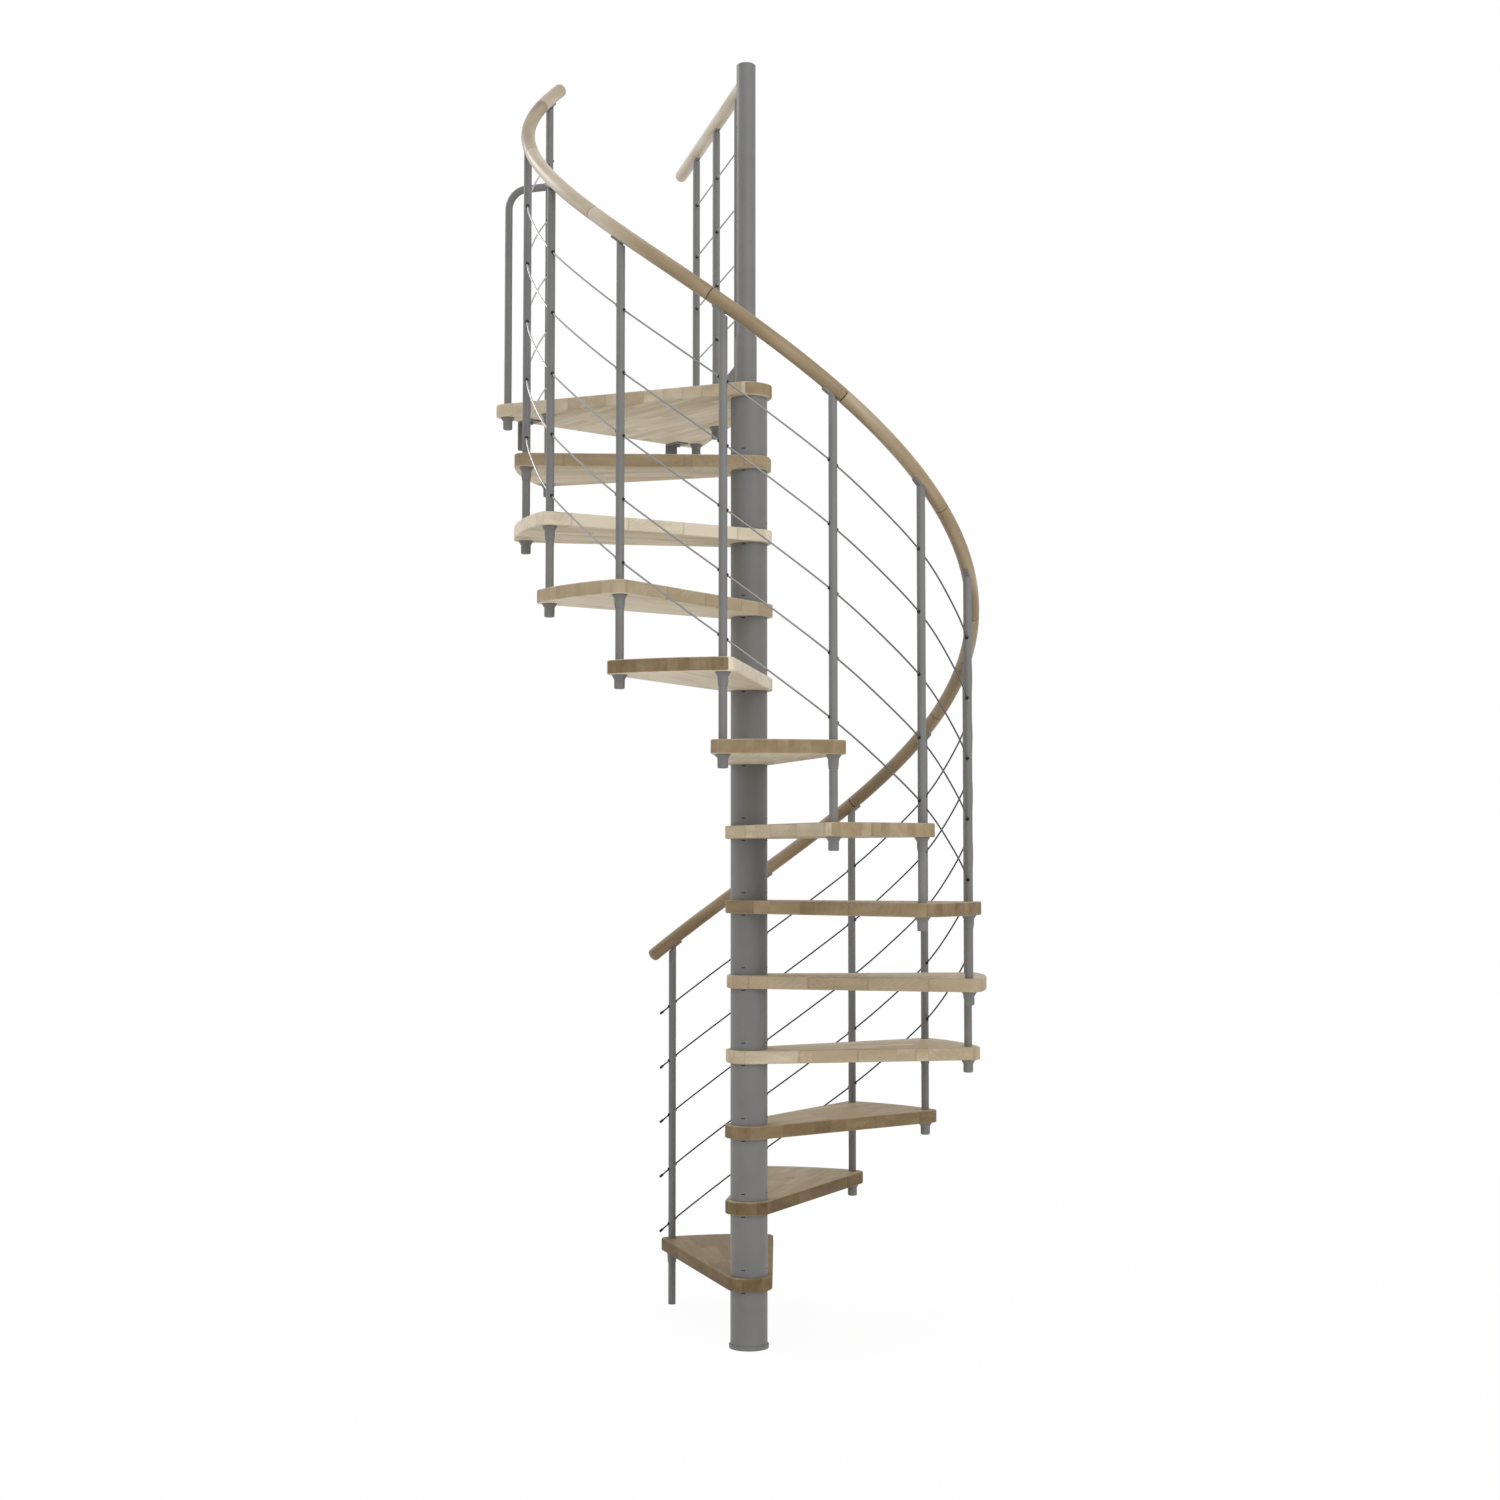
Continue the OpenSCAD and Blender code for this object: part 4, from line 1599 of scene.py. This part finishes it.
    def _saddle(self, turn: Matrix) -> Mesh:
        """Makes a plate hollowed to the rail, with two round screw heads under it.

        Args:
            turn: Turns the part about its Z axis; without it the rail runs along X.

        Returns:
            The part, with the rail's centre at its origin.
        """
        plan = self.plan
        half_w, half_l = self.saddle_w / 2, self.saddle_l / 2
        rounding = half_w * self.saddle_rounding
        bow_l, bow_w = (rounding * share for share in self.saddle_bow)
        end = [(half_l - rounding, half_w), (half_l - bow_l, half_w - bow_w), (half_l, half_w - rounding)]
        stations = [(-x, w) for x, w in reversed(end)] + end
        rings = [[turn @ point for point in self._saddle_section(x, w)] for x, w in stations]
        part = PartShape().loft(rings)
        crown = (self.screw_r * self.screw_crown[0], self.screw_h * self.screw_crown[1])
        head = [(0.0, self.screw_h), crown, (self.screw_r, 0.0), (0.0, 0.0)]
        for x in (-self.screw_place, self.screw_place):
            place = Matrix.Translation((x, 0.0, -plan.saddle_drop + self.screw_h * self.screw_sunk))
            part.turn(head, self.screw_sides, turn @ place @ DOWNWARDS)
        return part.mesh("saddle")

    def _saddle_section(self, x: float, half_w: float) -> list[Vector]:
        """Gives the saddle's section at one place along the rail.

        Args:
            x: Place along the rail.
            half_w: Half its width there.

        Returns:
            The points: a hollow upper side and a flat lower side with eased edges.
        """
        plan, ease, steps = self.plan, self.saddle_ease, self.hollow_steps
        hollow_r, under = plan.rail_r + self.saddle_clear, -plan.saddle_drop
        places = [half_w * (2 * step / steps - 1) for step in range(steps + 1)]
        outline = [(y, -math.sqrt(hollow_r ** 2 - y * y)) for y in places]
        outline += [(half_w, under + ease), (half_w - ease, under)]
        outline += [(-half_w + ease, under), (-half_w, under + ease)]
        return [Vector((x, y, z)) for y, z in outline]


@dataclass
class Wires(Assembly):
    """Wires along the flight and the guard rail, the boots where they enter a tube, and their end caps."""

    rings_per_degree: float = 0.8
    sides: int = 12
    flat_end: float = 0.3 * MM
    # Painted sheen along each flight wire, from its lower end to its upper end: a painted highlight, not a
    # change in the steel.
    low_polish: float = 0.0
    high_polish: float = 1.0
    guard_polish: float = 0.75
    seat_in_post: float = 10 * MM
    boot_r: float = 5.4 * MM
    boot_sunk: float = 4 * MM
    boot_rim_h: float = 0.6 * MM
    boot_shoulder_h: float = 1.6 * MM
    boot_shoulder: float = 0.86
    boot_h: float = 2.2 * MM
    boot_sides: int = 12
    cap_r: float = 4 * MM
    cap_l: float = 11 * MM
    cap_lap: float = 3 * MM
    cap_bore: float = 0.98
    cap_mouth: Profile = ((0.8, 1.0), (1.0, 0.6))
    cap_nose: Profile = ((1.0, 0.6), (0.86, 0.85), (0.5, 0.97), (0.0, 1.0))

    def build(self) -> None:
        """Makes the wires and what is on them."""
        plan = self.plan
        for number in range(plan.wire_count):
            settle(self._flight_wire(number), Slot.WIRE, (f"rail_wire_{number + 1}",))
        settle(self._guard_wires(), Slot.WIRE, ("guard_wires",))
        self._boots()
        self._caps()

    def _flight_wire(self, number: int) -> Object:
        """Makes one wire along the flight, from end to end.

        Args:
            number: Number of the wire, from 0 at the bottom.

        Returns:
            The wire.
        """
        plan = self.plan
        low, high = self._wire_ends()
        level = plan.first_top + plan.wire_first_h + number * plan.wire_gap
        return self.tube.grow(
            f"flight_wire_{number + 1}", start_angle=low, end_angle=high, path_radius=plan.baluster_circle_r,
            climb=plan.climb, start_height=plan.helix_height(low, level), tube_radius=plan.wire_r,
            start_dome=self.flat_end, end_dome=self.flat_end, inset=plan.wire_inset, bay_turn=plan.step_angle,
            first_bay=plan.first_angle, last_bay=plan.baluster_angle(plan.tread_count), piece=float(number),
            start_tone=self.low_polish, end_tone=self.high_polish,
            rings=int(math.degrees(high - low) * self.rings_per_degree), sides=self.sides,
            material=self.finishes.wire,
        )

    def _wire_ends(self) -> tuple[float, float]:
        """Finds where the flight's wires end.

        Returns:
            Compass angles of the lower and the upper ends.
        """
        plan = self.plan
        low = plan.first_angle - plan.wire_out_low / plan.helix_per_radian
        high = plan.baluster_angle(plan.tread_count) + plan.wire_out_high / plan.helix_per_radian
        return low, high

    def _guard_wires(self) -> Object:
        """Makes the guard rail's straight wires, from the post outwards.

        Returns:
            The wires, in one piece.
        """
        plan = self.plan
        turn = plan.guard_angle - plan.exit_angle
        start = plan.post_offset * math.cos(turn) + plan.post_r - self.seat_in_post
        end = plan.guard_outer_r + plan.wire_out_high
        profile = [(0.0, start), (plan.wire_r, start), (plan.wire_r, end), (0.0, end)]
        part = PartShape().turn(profile, self.sides, ALONG_Y).mesh("guard_wire")
        mark_points(part, DrawnSteel.polish_attribute, [self.guard_polish] * len(part.vertices))
        rule = ArrayRule(1, plan.guard_angle, 0.0, plan.landing_top + plan.guard_wire_h, **plan.wire_rows)
        return self.array.lay("guard_wire_set", part, rule, self.finishes.wire)

    def _boots(self) -> None:
        """Makes the black boots on both sides of every tube that a wire goes through."""
        plan, cap = self.plan, self.finishes.cap
        flight = plan.along_flight(plan.first_top + plan.wire_first_h, tilt=plan.pitch, **plan.wire_rows)
        guard = plan.along_guard(plan.landing_top + plan.guard_wire_h, **plan.wire_rows)
        sloped_reach = plan.baluster_r / math.cos(plan.pitch)
        pieces = [
            self.array.lay("boots_flight", self._boot_pair(sloped_reach, ALONG_X), flight, cap),
            self.array.lay("boots_guard", self._boot_pair(plan.baluster_r, ALONG_Y), guard, cap),
        ]
        settle(joined("wire_boots", pieces), Slot.CAP)

    def _boot_pair(self, reach: float, direction: Matrix) -> Mesh:
        """Makes the two boots of one wire in one tube.

        Args:
            reach: Distance along the wire from the tube's axis to its surface.
            direction: Turns the wire's direction from Z.

        Returns:
            The part.
        """
        wire_r = self.plan.wire_r
        profile = [
            (wire_r, reach - self.boot_sunk), (self.boot_r, reach - self.boot_sunk),
            (self.boot_r, reach + self.boot_rim_h),
            (self.boot_r * self.boot_shoulder, reach + self.boot_shoulder_h), (wire_r, reach + self.boot_h),
        ]
        part = PartShape().turn(profile, self.boot_sides, direction)
        part.turn(profile, self.boot_sides, direction @ DOWNWARDS)
        return part.mesh("boot_pair")

    def _caps(self) -> None:
        """Makes the caps on the wires' free ends."""
        plan, cap = self.plan, self.finishes.cap
        low, high = self._wire_ends()
        level = plan.first_top + plan.wire_first_h
        pieces = []
        for name, angle, direction in (("low", low, ALONG_X @ DOWNWARDS), ("high", high, ALONG_X)):
            height = plan.helix_height(angle, level)
            rule = ArrayRule(1, angle, plan.baluster_circle_r, height, tilt=plan.pitch, **plan.wire_rows)
            pieces.append(self.array.lay("caps_" + name, self._cap(direction), rule, cap))
        guard_end, height = plan.guard_outer_r + plan.wire_out_high, plan.landing_top + plan.guard_wire_h
        rule = ArrayRule(1, plan.guard_angle, guard_end, height, **plan.wire_rows)
        pieces.append(self.array.lay("caps_guard", self._cap(ALONG_Y), rule, cap))
        settle(joined("end_caps", pieces), Slot.CAP, ("wire_end_caps",))

    def _cap(self, direction: Matrix) -> Mesh:
        """Makes one cap, from the wire's end outwards.

        Args:
            direction: Turns the wire's direction from Z.

        Returns:
            The part.
        """
        inside = [(0.0, -self.cap_lap), (self.plan.wire_r * self.cap_bore, -self.cap_lap)]
        mouth = [(self.cap_r * r, -self.cap_lap * h) for r, h in self.cap_mouth]
        nose = [(self.cap_r * r, self.cap_l * h) for r, h in self.cap_nose]
        return PartShape().turn(inside + mouth + nose, self.boot_sides, direction).mesh("end_cap")


@dataclass
class LandingFittings(Assembly):
    """The landing's post with its cap, and the angle brackets under the exit edge."""

    bracket_edge_r: float = 0.8 * MM
    bracket_t: float = 5 * MM
    bolt_inset: float = 36 * MM
    bolt_r: float = 8.5 * MM
    bolt_h: float = 5.5 * MM
    bolt_chamfer_h: float = 0.8 * MM
    bolt_top_share: float = 0.86
    washer_r: float = 12 * MM
    washer_t: float = 1.6 * MM
    bolt_polish: float = 0.6

    def build(self) -> None:
        """Dresses the post and makes the brackets and their bolts."""
        plan, steel = self.plan, self.finishes.steel
        dress_nodes(steel, "landing_post", "post_cap")
        brackets = softened_copy("floor_brackets", self.bracket_edge_r, steel)
        settle(brackets, Slot.STEEL, ("floor_brackets",))
        out = heading(plan.exit_angle)
        bores = [m["pos_m"] for m in frame["record"]["mounts"] if m["name"].startswith("bracket_bore")]
        places = [compass(Vector(bore) - out * self.bolt_inset) for bore in bores]
        (first_r, first_angle), (second_r, second_angle) = places
        rule = ArrayRule(
            columns=len(places), first_angle=first_angle, angle_step=second_angle - first_angle,
            first_radius=first_r, radius_step=second_r - first_r,
            first_height=plan.landing_top - plan.board_t - self.bracket_t,
        )
        bolts = self.array.lay("bracket_bolts", self._bolt(), rule, self.finishes.wire)
        settle(bolts, Slot.WIRE)

    def _bolt(self) -> Mesh:
        """Makes a hexagon head on a washer, facing down.

        Returns:
            The part, with the washer's upper face at its origin.
        """
        hexagon, round_sides = 6, 24
        washer = [(0.0, 0.0), (self.washer_r, 0.0), (self.washer_r, self.washer_t), (0.0, self.washer_t)]
        top = self.washer_t + self.bolt_h
        head = [
            (0.0, self.washer_t), (self.bolt_r, self.washer_t), (self.bolt_r, top - self.bolt_chamfer_h),
            (self.bolt_r * self.bolt_top_share, top), (0.0, top),
        ]
        bolt = PartShape().turn(washer, round_sides, DOWNWARDS).turn(head, hexagon, DOWNWARDS).mesh("bolt")
        mark_points(bolt, DrawnSteel.polish_attribute, [self.bolt_polish] * len(bolt.vertices))
        return bolt


@dataclass(frozen=True)
class Lamp:
    """Soft square lamp that faces the column's axis at a height; its power is in watts."""

    name: str
    place: tuple[float, float, float]
    aim_h: float
    side: float
    power: float

    def build(self) -> None:
        """Hangs the lamp."""
        light = bpy.data.lights.new(self.name, "AREA")
        light.size = self.side
        light.energy = self.power
        lamp = bpy.data.objects.new(self.name, light)
        lamp.location = self.place
        aim = Vector((0.0, 0.0, self.aim_h)) - Vector(self.place)
        lamp.rotation_euler = aim.to_track_quat("-Z", "Y").to_euler()
        bpy.context.scene.collection.objects.link(lamp)


@dataclass
class Studio:
    """Pale floor, soft light and the camera."""

    photo_px: float = 1500.0
    focal_px: float = 2142.8
    sensor: float = 36.0
    camera_place: tuple[float, float, float] = (0.003, -6.2863, 1.409)
    camera_tilt: float = 0.0513
    floor_half: float = 30.0
    floor_drop: float = 0.5 * MM
    floor_colour: Colour = (0.94, 0.94, 0.93, 1.0)
    floor_glow: float = 0.955
    floor_fade: tuple[float, float] = (1.2, 5.0)
    sky_level: float = 0.72
    white: Colour = (1.0, 1.0, 1.0, 1.0)
    lamps: tuple[Lamp, ...] = (
        Lamp("key_light", (2.6, -5.0, 4.6), 1.9, 5.5, 140.0),
        Lamp("left_light", (-4.2, 2.0, 5.6), 2.0, 1.5, 80.0),
    )

    def build(self) -> None:
        """Sets up everything round the stair."""
        self._camera()
        self._floor()
        self._sky()
        for lamp in self.lamps:
            lamp.build()
        bpy.context.scene.view_settings.view_transform = "Standard"

    def _camera(self) -> None:
        """Adds the camera at the photograph's view."""
        lens = bpy.data.cameras.new("camera")
        lens.sensor_width = self.sensor
        lens.lens = self.focal_px / self.photo_px * self.sensor
        camera = bpy.data.objects.new("camera", lens)
        camera.location = self.camera_place
        camera.rotation_euler = (QUARTER_TURN + self.camera_tilt, 0.0, 0.0)
        bpy.context.scene.collection.objects.link(camera)
        bpy.context.scene.camera = camera

    @staticmethod
    def _seen_directly(graph: NodeGraph) -> Signal:
        """Marks the rays that show the background as it is.

        Args:
            graph: The tree of the floor or the sky.

        Returns:
            1 on rays from the camera and on those that a gloss or a glass sends on, else 0.
        """
        rays = graph.node("ShaderNodeLightPath").outputs
        names = ("Is Camera Ray", "Is Glossy Ray", "Is Transmission Ray")
        seen, gloss, through = (Signal(graph, rays[name]) for name in names)
        return seen.larger(gloss).larger(through)

    def _floor(self) -> None:
        """Adds the floor, which looks white but keeps the stair's soft shadow."""
        reach = self.floor_half
        mesh = bpy.data.meshes.new("floor")
        outline = ((-reach, -reach), (reach, -reach), (reach, reach), (-reach, reach))
        corners = [(x, y, -self.floor_drop) for x, y in outline]
        mesh.from_pydata(corners, [], [(0, 1, 2, 3)])
        graph = SurfaceGraph("pale_floor")
        matt = graph.signal("ShaderNodeBsdfDiffuse", inputs={"Color": self.floor_colour})
        glow = graph.signal("ShaderNodeEmission", inputs={"Color": self.white, "Strength": 1.0})
        away = graph.signal("ShaderNodeVectorMath", {"operation": "LENGTH"}, {0: graph.place()}, "Value")
        glow_share = self.floor_glow + graph.span(away, *self.floor_fade) * (1.0 - self.floor_glow)
        factor = self._seen_directly(graph) * glow_share
        surface = graph.signal("ShaderNodeMixShader", inputs={0: factor, 1: matt, 2: glow})
        graph.node("ShaderNodeOutputMaterial", inputs={"Surface": surface})
        mesh.materials.append(graph.material)
        make_object("floor", mesh)

    def _sky(self) -> None:
        """Adds the white surroundings, which light the stair at a plain level."""
        world = bpy.data.worlds.new("studio")
        world.use_nodes = True
        bpy.context.scene.world = world
        graph = NodeGraph(world.node_tree)
        graph.tree.nodes.clear()
        strength = self.sky_level + self._seen_directly(graph) * (1.0 - self.sky_level)
        sky = graph.signal("ShaderNodeBackground", inputs={"Color": self.white, "Strength": strength})
        graph.node("ShaderNodeOutputWorld", inputs={"Surface": sky})


def main() -> None:
    """Builds every sub-assembly and the studio."""
    logging.basicConfig(level=logging.INFO, format="%(name)s: %(message)s")
    means = (StairPlan.from_frame(), Finishes.build(), HelixTube(), FittingArray())
    for assembly in (Column, Boards, Balusters, Handrails, Wires, LandingFittings):
        log.info("building %s", assembly.__name__)
        assembly(*means).build()
    Studio().build()


if __name__ == "__main__":
    main()
